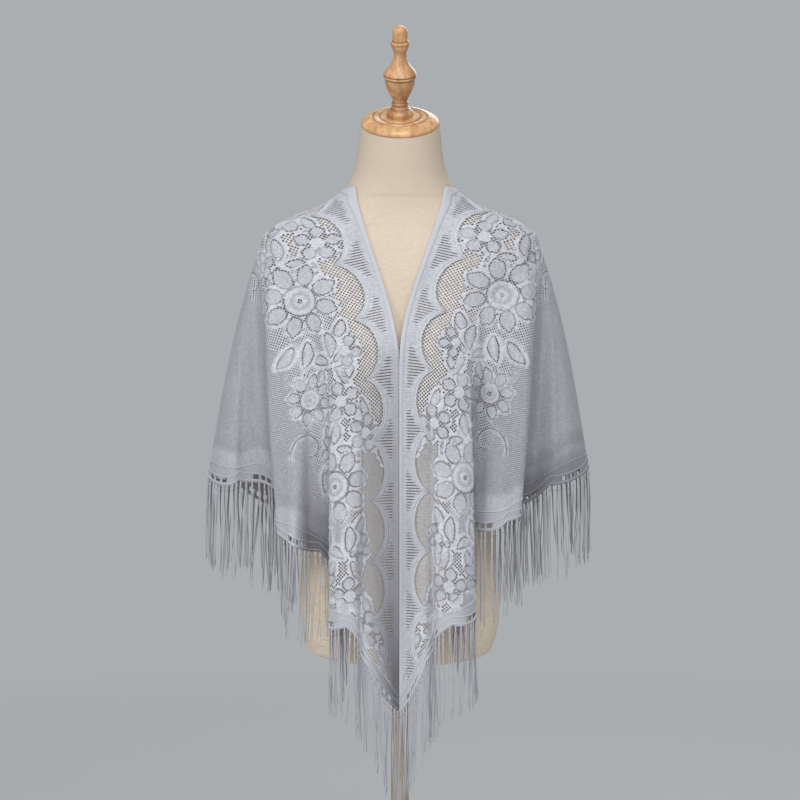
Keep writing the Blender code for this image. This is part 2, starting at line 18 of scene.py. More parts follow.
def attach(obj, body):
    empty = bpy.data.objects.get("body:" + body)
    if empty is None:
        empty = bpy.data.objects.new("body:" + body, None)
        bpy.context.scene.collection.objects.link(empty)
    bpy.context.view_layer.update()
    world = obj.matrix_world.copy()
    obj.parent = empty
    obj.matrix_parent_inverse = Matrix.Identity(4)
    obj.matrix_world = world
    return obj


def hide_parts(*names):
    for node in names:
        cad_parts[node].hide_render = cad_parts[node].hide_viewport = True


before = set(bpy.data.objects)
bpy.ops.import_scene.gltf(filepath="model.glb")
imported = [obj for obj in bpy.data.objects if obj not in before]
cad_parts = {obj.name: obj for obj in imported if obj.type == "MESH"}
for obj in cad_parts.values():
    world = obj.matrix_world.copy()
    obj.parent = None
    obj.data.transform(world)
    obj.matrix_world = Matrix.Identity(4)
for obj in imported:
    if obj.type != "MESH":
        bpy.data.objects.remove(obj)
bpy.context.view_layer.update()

# ---------------------------------------------------------------- sizes shared with the solids
FORM_BASE = 0.600
CLOTH_CLEAR = 0.0022
SCALLOPS_PER_SIDE = 13
SCALLOP_DROP = 0.009
LADDER_GAP = 0.0075
LADDER_BAR = 0.0040
LADDERS = 3
FRINGE_LENGTH = 0.120
POLE_RADIUS = 0.0125
STAND_RADIUS = 0.170
STAND_THICK = 0.022
NECK_TOP = 0.724
NECK_TILT = math.radians(23)
FINIAL_HEIGHT = 0.125
SEAM_GAP = 0.0003

# sections of the form: height, half width, front depth, back depth, squareness
FORM_SECTIONS = np.array([
    (0.000, 0.098, 0.070, 0.074, 2.3), (0.006, 0.116, 0.086, 0.090, 2.3),
    (0.020, 0.127, 0.095, 0.100, 2.3), (0.045, 0.1335, 0.100, 0.106, 2.3),
    (0.090, 0.136, 0.102, 0.108, 2.3), (0.150, 0.132, 0.098, 0.101, 2.2),
    (0.210, 0.120, 0.089, 0.087, 2.1), (0.255, 0.1135, 0.084, 0.078, 2.1),
    (0.300, 0.117, 0.087, 0.079, 2.1), (0.350, 0.129, 0.094, 0.086, 2.2),
    (0.400, 0.140, 0.098, 0.094, 2.3), (0.430, 0.146, 0.099, 0.097, 2.3),
    (0.460, 0.152, 0.096, 0.098, 2.3), (0.490, 0.162, 0.090, 0.096, 2.3),
    (0.520, 0.174, 0.083, 0.092, 2.3), (0.545, 0.183, 0.076, 0.086, 2.3),
    (0.560, 0.186, 0.071, 0.081, 2.3), (0.572, 0.183, 0.066, 0.076, 2.3),
    (0.582, 0.172, 0.061, 0.071, 2.2), (0.592, 0.156, 0.058, 0.067, 2.2),
    (0.602, 0.134, 0.055, 0.063, 2.1), (0.612, 0.110, 0.053, 0.060, 2.1),
    (0.622, 0.091, 0.052, 0.058, 2.0), (0.633, 0.077, 0.052, 0.057, 2.0),
    (0.648, 0.0675, 0.0515, 0.0560, 2.0), (0.670, 0.0605, 0.0510, 0.0535, 2.0),
    (0.700, 0.0562, 0.0505, 0.0515, 2.0), (NECK_TOP, 0.0535, 0.0500, 0.0505, 2.0),
])
HALF_WIDTH, FRONT, BACK, SQUARE = 1, 2, 3, 4
BUST_HEIGHT, BUST_SPREAD = 0.428, 0.050
BUST_RISE, BUST_X, BUST_WIDTH = 0.017, 0.070, 0.048

# The drape's folds, from its front edge to the middle of the back: where each starts round the neck and
# how it swings out, and then, on the wearer's right and left, where it leaves the form (azimuth, height,
# lift) and where it meets the hem (x, y, z).
Fold = namedtuple("Fold", "neck swing azimuth height lift x y z")
FOLDS = [
    ("front_edge", 62, 1.9, (0, 1.006, 0, 0, -0.127, 0.549), (-0.5, 1.018, 0.005, -0.001, -0.138, 0.55)),
    ("crease_front", 64, 1.8, (19, 1.012, 0, 0.045, -0.14, 0.62), (16, 1.02, 0.002, 0.037, -0.146, 0.627)),
    ("crease_inside", 65, 1.8, (22, 1.014, 0, 0.052, -0.132, 0.638),
     (19, 1.022, 0.002, 0.0435, -0.136, 0.642)),
    ("crease_back", 66, 1.8, (25, 1.016, 0, 0.059, -0.143, 0.659), (23, 1.024, 0.002, 0.05, -0.148, 0.661)),
    ("panel_turn", 67, 1.7, (32, 1.02, 0.001, 0.077, -0.145, 0.666), (33, 1.028, 0.002, 0.08, -0.147, 0.671)),
    ("panel_edge", 69, 1.6, (39, 1.028, 0.002, 0.092, -0.131, 0.668),
     (39, 1.032, 0.002, 0.0985, -0.129, 0.682)),
    ("first_valley", 71, 1.5, (45, 1.036, 0, 0.074, -0.112, 0.706), (45, 1.038, 0, 0.074, -0.112, 0.738)),
    ("roll_start", 73, 1.4, (50, 1.05, 0, 0.093, -0.089, 0.747), (50, 1.05, 0, 0.093, -0.089, 0.792)),
    ("roll_slope", 74, 1.3, (54, 1.066, 0, 0.1165, -0.094, 0.762), (54, 1.066, 0, 0.112, -0.102, 0.793)),
    ("roll_front", 76, 1.3, (60, 1.09, 0, 0.142, -0.107, 0.775), (60, 1.09, 0, 0.133, -0.108, 0.795)),
    ("roll_edge", 79, 1.2, (79, 1.148, 0, 0.156, -0.084, 0.781), (79, 1.148, 0, 0.155, -0.085, 0.811)),
    ("roll_back", 82, 1.1, (84, 1.16, 0, 0.155, -0.04, 0.814), (84, 1.16, 0, 0.15, -0.04, 0.819)),
    ("side_valley", 85, 1, (87, 1.163, 0, 0.186, -0.011, 0.848), (87, 1.163, 0, 0.175, -0.008, 0.822)),
    ("outer_front", 88, 1, (90, 1.165, 0, 0.224, -0.03, 0.844), (90, 1.165, 0, 0.214, -0.03, 0.845)),
    ("outer", 95, 1, (94, 1.165, 0, 0.261, 0.008, 0.85), (94, 1.165, 0, 0.257, 0.012, 0.86)),
    ("outer_back", 108, 1, (102, 1.16, 0, 0.239, 0.066, 0.838), (102, 1.16, 0, 0.234, 0.07, 0.852)),
    ("shoulder_valley", 118, 1, (114, 1.15, 0, 0.195, 0.088, 0.813), (114, 1.15, 0, 0.19, 0.091, 0.822)),
    ("back_fold", 133, 1, (130, 1.142, 0, 0.158, 0.124, 0.784), (130, 1.142, 0, 0.154, 0.126, 0.788)),
    ("back_valley", 146, 1, (145, 1.134, 0, 0.114, 0.123, 0.754), (145, 1.134, 0, 0.111, 0.124, 0.756)),
    ("back_middle", 158, 1, (157, 1.13, 0, 0.076, 0.139, 0.724), (157, 1.13, 0, 0.074, 0.14, 0.724)),
    ("back_centre", 180, 1, (180, 1.128, 0, 0, 0.133, 0.681), (180, 1.128, 0, 0, 0.133, 0.681)),
]
NECK_HEIGHT_FRONT, NECK_HEIGHT_BACK = 1.247, 1.224
HANG_BULGE = 0.009
YOKE_STEPS, HANG_STEPS, LINE_STEPS = 24, 40, 64

Stretch = namedtuple("Stretch", "name first last")
RIGHT_STRETCHES = [Stretch("front", 0, 66), Stretch("side", 66, 110), Stretch("back", 110, 143)]
LEFT_STRETCHES = [Stretch("front", 0, 64), Stretch("side", 64, 110), Stretch("back", 110, 143)]


# ---------------------------------------------------------------- curves through tables
def smooth_through(knots, values, at, steady=False):
    """A cubic curve through values at knots, read at the places in at; steady never overshoots."""
    knots, values, at = (np.asarray(a, float) for a in (knots, values, at))
    slopes = np.gradient(values, knots, axis=0)
    if steady:
        rises = np.diff(values) / np.diff(knots)
        before, after = np.append(rises[:1], rises), np.append(rises, rises[-1:])
        limit = 3 * np.minimum(np.abs(before), np.abs(after)) * (before * after > 0)
        slopes = np.clip(slopes, -limit, limit)
    i = np.clip(np.searchsorted(knots, at, side="right") - 1, 0, len(knots) - 2)
    width = knots[i + 1] - knots[i]
    t = (at - knots[i]) / width
    extra = (1,) * (values.ndim - 1)
    t, width = t.reshape(t.shape + extra), width.reshape(width.shape + extra)
    return (
        (2 * t**3 - 3 * t**2 + 1) * values[i]
        + (t**3 - 2 * t**2 + t) * width * slopes[i]
        + (3 * t**2 - 2 * t**3) * values[i + 1]
        + (t**3 - t**2) * width * slopes[i + 1]
    )


def section_at(height, column):
    heights = FORM_SECTIONS[:, 0]
    return smooth_through(heights, FORM_SECTIONS[:, column], np.clip(height, heights[0], heights[-1]))


def form_radius(azimuth, z, bridged=False):
    """Distance from the axis to the form's skin; bridged spans the hollow between the busts."""
    height = np.asarray(z, float) - FORM_BASE
    sine, cosine = np.sin(azimuth), np.cos(azimuth)
    square = section_at(height, SQUARE)
    depth = np.where(cosine > 0, section_at(height, FRONT), section_at(height, BACK))
    width = section_at(height, HALF_WIDTH)
    radius = (np.abs(sine / width) ** square + np.abs(cosine / depth) ** square) ** (-1 / square)
    across = np.abs(radius * sine) - BUST_X
    if bridged:
        across = np.maximum(across, 0)
    lobe = np.exp(-((across / BUST_WIDTH) ** 2)) * np.clip(cosine, 0, 1) ** 0.5
    return radius + BUST_RISE * lobe * np.exp(-(((height - BUST_HEIGHT) / BUST_SPREAD) ** 2))


def pushed_clear(points, clear):
    """Points nearer the form's skin than clear are moved straight out of it."""
    step = 1e-4
    for _ in range(4):
        azimuth = np.arctan2(np.abs(points[..., 0]), -points[..., 1])
        z = points[..., 2]
        radius = form_radius(azimuth, z, True)
        slope_z = (form_radius(azimuth, z + step, True) - radius) / step
        slope_a = (form_radius(azimuth + step, z, True) - radius) / step / np.maximum(radius, 1e-3)
        out = np.stack([points[..., 0], points[..., 1]], -1)
        reach = np.linalg.norm(out, axis=-1)
        out = out / np.maximum(reach, 1e-6)[..., None]
        around = np.stack([-out[..., 1], out[..., 0]], -1) * np.sign(points[..., 0])[..., None]
        size = np.sqrt(1 + slope_z**2 + slope_a**2)
        short = np.maximum(clear - (reach - radius) / size, 0) / size
        flat = out - slope_a[..., None] * around
        points = points + np.concatenate([flat, -slope_z[..., None]], -1) * short[..., None]
    return points


def run_along(line):
    """How far along a line each of its points is."""
    return np.concatenate([[0], np.cumsum(np.linalg.norm(np.diff(line, axis=0), axis=1))])


def evened(lines, count):
    """Each line of points again, with count points at equal distances along it."""
    result = np.empty((len(lines), count, 3))
    for i, line in enumerate(lines):
        run = run_along(line)
        at = np.linspace(0, run[-1], count)
        result[i] = np.stack([np.interp(at, run, line[:, k]) for k in range(3)], -1)
    return result


def unit(vectors):
    return vectors / np.maximum(np.linalg.norm(vectors, axis=-1, keepdims=True), 1e-9)


def between(grid, a, b):
    """A grid's values at columns a and rows b, which may lie between its points."""
    i, j = np.minimum(a.astype(int), grid.shape[0] - 2), np.minimum(b.astype(int), grid.shape[1] - 2)
    u, v = (a - i)[..., None], (b - j)[..., None]
    return (
        grid[i, j] * (1 - u) * (1 - v)
        + grid[i + 1, j] * u * (1 - v)
        + grid[i, j + 1] * (1 - u) * v
        + grid[i + 1, j + 1] * u * v
    )


# ---------------------------------------------------------------- the drape and its flat cut
FINE_SHARES, FINE_ROWS, FINE_REACH = 573, 165, 1.04  # the drape's grid runs a little past the hem
CUT_SHARES, CUT_ROWS, CUT_ROUNDS = 85, 26, 60
CUT_HALF_LENGTH, CUT_DEPTH, CUT_NECK = 0.82, 0.59, 0.100  # the layout that the flattening starts from


class Drape:
    """One half of the shawl, draped: side is 1 for the wearer's left (+X) and -1 for the right."""

    def __init__(self, word, side, stretches):
        self.word, self.side, self.stretches = word, side, stretches
        halves = [(neck, swing, left if side > 0 else right) for _, neck, swing, right, left in FOLDS]
        self.folds = [Fold(neck, swing, *places) for neck, swing, places in halves]
        hem = np.array([(f.x, f.y, f.z) for f in self.folds])
        rough = np.linspace(0, 1, len(FOLDS))
        fine = np.linspace(0, 1, 600)
        curve = smooth_through(rough, hem, fine)
        run = run_along(curve)
        self.hem_length = run[-1]
        self.knots = np.interp(rough, fine, run / run[-1])

        shares = np.linspace(0, 1, FINE_SHARES)
        lines = self.meridians(shares)
        places = np.linspace(0, 1, LINE_STEPS)
        self.line_lengths = np.linalg.norm(np.diff(lines, axis=1), axis=-1).sum(1)
        fractions = np.linspace(0, FINE_REACH, FINE_ROWS)
        inside = smooth_through(places, lines.transpose(1, 0, 2), np.minimum(fractions, 1))
        beyond = (lines[:, -1] - lines[:, -4]) / (places[-1] - places[-4])
        past = np.maximum(fractions - 1, 0)[:, None, None] * beyond[None]
        self.grid = (inside + past).transpose(1, 0, 2)
        self.grid[..., 0] *= side
        self.grid += self.creased(shares, fractions)[..., None] * self.grid_normals()
        self.normals = self.grid_normals()
        self.flatten()

    def column(self, name, share):
        steady = name not in ("x", "y", "z")
        return smooth_through(self.knots, [getattr(f, name) for f in self.folds], share, steady)

    def meridians(self, shares):
        """Points (share, step, xyz) from the neck to the hem's line, evenly spaced along each."""
        f = np.linspace(0, 1, YOKE_STEPS)[None, :]
        neck = np.radians(self.column("neck", shares))[:, None]
        support = np.radians(self.column("azimuth", shares))[:, None]
        swing = self.column("swing", shares)[:, None]
        round_back = (1 - np.cos(neck)) / 2
        top = NECK_HEIGHT_FRONT + (NECK_HEIGHT_BACK - NECK_HEIGHT_FRONT) * round_back
        z = top + (self.column("height", shares)[:, None] - top) * f
        azimuth = support + (neck - support) * (1 - f) ** swing
        lift = self.column("lift", shares)[:, None] * f
        radius = form_radius(azimuth, z, True) + CLOTH_CLEAR + lift
        yoke = np.stack([radius * np.sin(azimuth), -radius * np.cos(azimuth), z], -1)
        hem = np.stack([self.column(k, shares) for k in "xyz"], -1)
        g = np.linspace(0, 1, HANG_STEPS + 1)[1:][None, :, None]
        hang = yoke[:, -1:] + (hem[:, None] - yoke[:, -1:]) * g
        outwards = np.clip(np.sin(support[..., None]), 0, 1) ** 3
        hang[..., :1] += HANG_BULGE * outwards * np.sin(np.pi * g**0.75)
        line = evened(np.concatenate([yoke, hang], axis=1), LINE_STEPS)
        for _ in range(4):
            line[:, 1:-1] = (line[:, :-2] + 2 * line[:, 1:-1] + line[:, 2:]) / 4
        return evened(pushed_clear(line, CLOTH_CLEAR), LINE_STEPS)

    def grid_normals(self):
        along = np.gradient(self.grid, axis=0)
        down = np.gradient(self.grid, axis=1)
        normals = unit(-self.side * np.cross(along, down))
        for _ in range(3):
            normals[1:-1] = unit(normals[:-2] + 2 * normals[1:-1] + normals[2:])
            normals[:, 1:-1] = unit(normals[:, :-2] + 2 * normals[:, 1:-1] + normals[:, 2:])
        return normals

    def creased(self, shares, fractions):
        """How far the soft creases stand out of the drape, on the whole grid."""
        depth = np.zeros((len(shares), len(fractions)))
        for half, start, end, top, bottom, breadth, rise in CREASES:
            if half not in ("both", self.word):
                continue
            t = np.clip((fractions - top) / (bottom - top), 0, 1)
            middle = start + (end - start) * t
            width = breadth / self.hem_length * (0.45 + 0.55 * t)
            # a crease that ends above the hem fades at both its ends
            fade = np.sin(np.pi * t**0.6) if bottom < 1 else np.sin(np.pi / 2 * t)
            fade *= (fractions >= top) & ((fractions <= bottom) | (bottom >= 1))
            depth += rise * fade * np.exp(-(((shares[:, None] - middle) / width) ** 2))
        return depth

    def flatten(self):
        """Relaxes the half onto its flat cut, whose long edge is straight."""
        shares, rows = np.linspace(0, 1, CUT_SHARES), np.linspace(0, 1, CUT_ROWS)
        tip, foot = np.array([CUT_HALF_LENGTH, 0]), np.array([0, -CUT_DEPTH])
        hem = tip + (foot - tip) * shares[:, None]
        neck = np.radians(self.column("neck", shares))
        top = CUT_NECK * (math.pi - neck) / (math.pi - neck[0])
        top = np.stack([top, 0 * top], -1)
        start = top[:, None] * (1 - rows[None, :, None]) + hem[:, None] * rows[None, :, None]
        flat = relaxed(self.at(*np.meshgrid(shares, rows, indexing="ij")), start)
        # the middle of the back is straight, and of its own length, on both halves alike
        middle = self.at(np.ones(CUT_ROWS), rows)
        run = run_along(middle)
        foot_x, foot_y = (np.interp(-flat[..., 1], -flat[-1, :, 1], flat[-1, :, k]) for k in (0, 1))
        target = np.interp(-flat[..., 1], -flat[-1, :, 1], -run)
        fade = np.clip(1 - (flat[..., 0] - foot_x) / 0.15, 0, 1)
        flat = flat + fade[..., None] * np.stack([-foot_x, target - foot_y], -1)
        self.cut_shares, self.cut_rows, self.flat = shares, rows, flat
        corners = [(x, y, 0) for x, y in flat.reshape(-1, 2)]
        self.cut_faces = grid_faces(CUT_SHARES, CUT_ROWS)
        self.cut_tree = BVHTree.FromPolygons(corners, self.cut_faces.tolist(), all_triangles=True)

    def at(self, shares, fractions, grid=None):
        """Points of the drape, or of another grid on it, at shares and fractions."""
        columns = np.clip(np.asarray(shares, float), 0, 1) * (FINE_SHARES - 1)
        rows = np.clip(np.asarray(fractions, float), 0, FINE_REACH) / FINE_REACH * (FINE_ROWS - 1)
        return between(self.grid if grid is None else grid, columns, rows)

    def frame_at(self, shares, fractions):
        return self.at(shares, fractions), unit(self.at(shares, fractions, self.normals))

    def lengths(self, shares):
        """The length of the meridians at these shares, from the neck to the hem's line."""
        return np.interp(shares, np.linspace(0, 1, FINE_SHARES), self.line_lengths)

    def above_hem(self, shares, fractions):
        return (1 - fractions) * self.lengths(shares)

    def flat_at(self, shares, fractions):
        """Where shares and fractions lie on the flat cut."""
        columns = np.clip(shares, 0, 1) * (CUT_SHARES - 1)
        return between(self.flat, columns, np.clip(fractions, 0, FINE_REACH) * (CUT_ROWS - 1))

    def from_flat(self, places):
        """Shares and fractions of places (n, 2) on the flat cut, and whether each is inside it."""
        flat = self.flat.reshape(-1, 2)
        grid_shares = np.repeat(self.cut_shares, CUT_ROWS)
        grid_rows = np.tile(self.cut_rows, CUT_SHARES)
        down = Vector((0, 0, -1))
        found = np.zeros(len(places), int)
        inside = np.ones(len(places), bool)
        spots = places.copy()
        for k, (x, y) in enumerate(places.tolist()):
            _, _, face, _ = self.cut_tree.ray_cast(Vector((x, y, 1)), down)
            if face is None:
                nearest, _, face, _ = self.cut_tree.find_nearest(Vector((x, y, 0)))
                spots[k], inside[k] = nearest[:2], False
            found[k] = face
        corner = self.cut_faces[found]
        a, b, c = (flat[corner[:, k]] for k in range(3))
        w = np.linalg.solve(np.stack([b - a, c - a], -1), (spots - a)[..., None])[..., 0]
        weights = np.concatenate([1 - w.sum(1, keepdims=True), w], -1)
        return (grid_shares[corner] * weights).sum(1), (grid_rows[corner] * weights).sum(1), inside


def grid_faces(columns, rows):
    index = np.arange(columns * rows).reshape(columns, rows)
    a, b, c, d = index[:-1, :-1], index[1:, :-1], index[1:, 1:], index[:-1, 1:]
    first, second = np.stack([a, b, c], -1), np.stack([a, c, d], -1)
    return np.concatenate([first.reshape(-1, 3), second.reshape(-1, 3)])


def column_solver(matrix, columns, rows):
    """Solves a set of equations in which each column of a grid meets only its two neighbours."""
    blocks = matrix.reshape(columns, rows, columns, rows).transpose(0, 2, 1, 3)
    inverses = []
    for k in range(columns):
        block = blocks[k, k]
        if k:
            block = block - blocks[k, k - 1] @ inverses[-1] @ blocks[k - 1, k]
        inverses.append(np.linalg.inv(block))

    def solve(right):
        parts = list(right.reshape(columns, rows))
        for k in range(1, columns):
            parts[k] = parts[k] - blocks[k, k - 1] @ (inverses[k - 1] @ parts[k - 1])
        parts[-1] = inverses[-1] @ parts[-1]
        for k in range(columns - 2, -1, -1):
            parts[k] = inverses[k] @ (parts[k] - blocks[k, k + 1] @ parts[k + 1])
        return np.concatenate(parts)

    return solve


def relaxed(points, start):
    """Flattens a grid of points with as little stretch as can be, from a starting layout.

    Places on the flat are complex numbers. Each round turns every triangle's own flat shape to fit
    best, and then solves for one layout of all.
    """
    columns, rows = points.shape[:2]
    index = np.arange(columns * rows).reshape(columns, rows)
    faces = grid_faces(columns, rows)
    layout = (start[..., 0] + 1j * start[..., 1]).ravel()
    a, b, c = (points.reshape(-1, 3)[faces[:, k]] for k in range(3))
    first, second = b - a, c - a
    base = np.linalg.norm(first, axis=1)
    own = np.zeros((len(faces), 3), complex)
    own[:, 1] = base
    own[:, 2] = ((second * first).sum(1) + 1j * np.linalg.norm(np.cross(first, second), axis=1)) / base
    p = layout[faces]
    if np.median(((p[:, 1] - p[:, 0]).conj() * (p[:, 2] - p[:, 0])).imag) < 0:
        own = own.conj()
    matrix, edges = np.zeros((index.size, index.size)), []
    for k, (m, n) in enumerate(((1, 2), (2, 0), (0, 1))):
        corner = (own[:, m] - own[:, k]).conj() * (own[:, n] - own[:, k])
        cotangent = np.clip(corner.real / np.maximum(np.abs(corner.imag), 1e-12), 0.02, 8)
        i, j = faces[:, m], faces[:, n]
        edges.append((i, j, cotangent * (own[:, n] - own[:, m])))
        for one, two, sign in ((i, i, 1), (j, j, 1), (i, j, -1), (j, i, -1)):
            np.add.at(matrix, (one, two), sign * cotangent)
    # the middle of the back stays on one line, and the long edge on another
    long_edge = np.concatenate([index[0], index[:, 0]])
    solvers = []
    for held in (index[-1], long_edge):
        with_hold = matrix.copy()
        with_hold[held, held] += 1e3
        solvers.append(column_solver(with_hold, columns, rows))
    for _ in range(CUT_ROUNDS):
        fit = sum((layout[j] - layout[i]) * edge.conj() for i, j, edge in edges)
        right = np.zeros(index.size, complex)
        for i, j, edge in edges:
            pull = fit / np.abs(fit) * edge
            np.add.at(right, j, pull)
            np.add.at(right, i, -pull)
        layout = solvers[0](right.real) + 1j * solvers[1](right.imag)
    return np.stack([layout.real, layout.imag], -1).reshape(columns, rows, 2)


# Soft creases laid over the drape: the half, the shares of the hem at which it starts and ends, the
# shares of the way down between which it runs, and its width and its depth, negative for a trough.
CREASES = [
    ("both", 0.70, 0.71, 0.35, 1.0, 0.016, 0.004),
    ("both", 0.86, 0.87, 0.40, 1.0, 0.020, 0.004),
    ("both", 0.93, 0.93, 0.50, 1.0, 0.014, -0.003),
    ("right", 0.545, 0.53, 0.45, 1.0, 0.014, -0.004),
    ("left", 0.565, 0.56, 0.40, 1.0, 0.014, -0.004),
    ("right", 0.115, 0.10, 0.30, 0.8, 0.012, -0.002),
    ("left", 0.04, 0.05, 0.45, 1.0, 0.010, 0.0015),
    ("left", 0.400, 0.408, 0.02, 1.0, 0.012, 0.0060),
    ("left", 0.436, 0.446, 0.02, 1.0, 0.014, -0.0120),
    ("right", 0.378, 0.384, 0.02, 1.0, 0.009, 0.0065),
    ("right", 0.404, 0.412, 0.02, 1.0, 0.011, -0.0110),
    ("right", 0.330, 0.322, 0.10, 1.0, 0.010, -0.0025),
    ("left", 0.350, 0.340, 0.15, 1.0, 0.010, -0.0025),
]


# ---------------------------------------------------------------- the lace's layout on the flat cut
CELL = 0.0033  # the lace's cell
STEP = CELL / math.sqrt(2)
SCALLOP, ARCS = 0.0768, 12  # the repeat of the arcs along the long edge, and their number on a half
ARCS_END, BAND_END = 0.840, 0.845  # where they and the edge band stop at the tip
ARC_CREST, ARC_CUSP = 0.0225, 0.0430  # how far in the arcs' crests and cusps lie
ARC_BORDER = 0.0060  # the closed lace outside each arc
SLIT_START, SLIT_PITCH, SLIT_WIDTH = 0.0105, 0.0036, 0.0013
WINDOW_DEPTH, NET_RISE = 0.062, 0.045  # how far in the open net reaches, and more between flowers
ORNAMENT_DEPTH = 0.155  # and the flowered border this far
REPEAT, FIRST_FLOWER = 0.2531, 0.0454  # of the flowers along the long edge

# kind, place in the repeat along the edge and in from it, size, turn in degrees
MOTIFS = [
    ("scroll", 0.085, 0.148, 0.03, 0), ("scroll", 0.19, 0.156, 0.03, 90),
    ("leaf", 0.038, 0.054, 0.042, -35), ("leaf", 0.048, 0.125, 0.048, -65),
    ("leaf", 0.095, 0.08, 0.042, 20), ("leaf", 0.09, 0.1, 0.044, -35),
    ("leaf", 0.123, 0.064, 0.036, 160), ("leaf", 0.148, 0.097, 0.036, 240),
    ("leaf", 0.165, 0.088, 0.042, -20), ("leaf", 0.162, 0.118, 0.048, -10),
    ("leaf", 0.208, 0.06, 0.042, -40), ("leaf", 0.205, 0.033, 0.034, 20),
    ("leaf", 0.174, 0.04, 0.036, 200), ("leaf", 0.214, 0.138, 0.046, -20),
    ("leaf", 0.203, 0.096, 0.038, 60), ("leaf", 0.078, 0.118, 0.04, 60),
    ("leaf", 0.166, 0.064, 0.038, 35), ("blossom", 0.083, 0.062, 0.022, 0),
    ("blossom", 0.145, 0.079, 0.027, -30), ("blossom", 0.19, 0.049, 0.026, 20),
    ("blossom", 0.202, 0.118, 0.023, 60), ("flower", 0.127, 0.133, 0.036, 15),
    ("leaf", 0.048, 0.08, 0.046, -5), ("leaf", 0.048, 0.108, 0.048, -30),
    ("flower", 0, 0.0976, 0.051, 10),
]


def bloom(x, y, size, petals, heart, notch):
    """Petals with a sheerer cell in each, round a ringed centre."""
    reach, turn = np.hypot(x, y) / size, np.arctan2(y, x)
    sector = 2 * math.pi / petals
    aside = np.abs(turn - np.round(turn / sector) * sector) / (sector / 2)
    rim = 0.95 - notch * aside**2.4 + 0.09 * np.abs(np.cos(1.5 * math.pi * aside))
    inside = reach < rim
    middle, half = (rim - 0.04 + heart) / 2, np.maximum((rim - 0.09 - heart) / 2, 0.04)
    cell = (np.abs(reach - middle) / half) ** 2.4 + (aside / 0.80) ** 2.4
    weight = np.where(cell < 0.9, 0.66, 0.92)
    fine = np.where(cell < 0.8, 0.10, 0.0)
    raised = np.clip(0.9 * cell - 0.2, 0.25, 1)
    disc = reach < heart
    ring = 0.5 + 0.5 * np.cos((reach / heart - 0.78) * 1.9 * 2 * math.pi) if size > 0.03 else 0.8
    weight = np.where(disc, 0.35 + 0.65 * ring, weight)
    fine = np.where(disc, 0.12 * (1 - ring), fine)
    raised = np.where(disc, 0.1 + 1.2 * ring, raised)
    edge = (0.92 - cell) * half * 0.42
    if size > 0.03:
        edge = np.maximum(edge, np.minimum(heart - reach, reach - 0.0025 / size))
    else:
        edge = np.maximum(edge, 0.31 - reach)
    return inside, weight, fine, raised, edge * size


def leaf(x, y, size):
    """A pointed leaf along x with a raised rim and rib; its stem is at the origin."""
    along = x / size
    half = 0.33 * np.sin(np.pi * np.clip(along, 0, 1)) ** 0.75 * (1 - 0.25 * along)
    aside = np.abs(y / size - 0.10 * np.sin(np.pi * along))
    inside = (along > 0) & (along < 1) & (aside < half)
    rib = np.clip(1 - aside / 0.06, 0, 1) * (along < 0.85)
    pale = np.maximum(np.clip((aside - half + 0.13) / 0.05, 0, 1), rib)
    return inside, 0.62 + 0.30 * pale, 0.12 * (1 - pale), 0.1 + 0.9 * pale, (half - 0.13 - aside) * size


def scroll(x, y, size):
    """A curled stem that thickens towards its end."""
    reach, turn = np.hypot(x, y) / size, np.arctan2(y, x)
    best = np.full(np.shape(x), 9.0)
    thick = np.zeros(np.shape(x))
    for lap in (-1, 0, 1):
        sweep = turn + 2 * math.pi * lap + math.pi
        gap = np.where((sweep > 0.6) & (sweep < 6.4), reach - 0.16 * sweep, 9.0)
        nearer = np.abs(gap) < np.abs(best)
        thick = np.where(nearer, 0.07 + 0.014 * sweep, thick)
        best = np.where(nearer, gap, best)
    inside = np.abs(best) < thick
    return inside, 0.60 + 0 * best, 0 * best, 0.3 + 0 * best, best * size


SHAPES = {
    "flower": lambda x, y, size: bloom(x, y, size, 8, 0.385, 0.32),
    "blossom": lambda x, y, size: bloom(x, y, size, 5, 0.26, 0.22),
    "leaf": leaf,
    "scroll": scroll,
}
EDGE_REACH = 0.005
WEIGHTS = (0.72, 0.50, 1.4, 0.60)  # the yarn's fullness in the arcs' border, outside it, in and round the net
FIELD_WEIGHT, HEM_WEIGHT, NET_EDGE_WEIGHT = 0.45, 0.50, 0.75


def from_crest(x):
    """How far along the edge the nearest arc's crest is, as a share of half an arc."""
    return 2 * np.abs(x / SCALLOP - np.round(x / SCALLOP))


def arc_depth(x):
    """How far in from the long edge the scalloped arcs lie."""
    bend = 1 - np.sqrt(1 - (0.97 * from_crest(x)) ** 2)
    return ARC_CREST + (ARC_CUSP - ARC_CREST) * bend / (1 - math.sqrt(1 - 0.97**2))


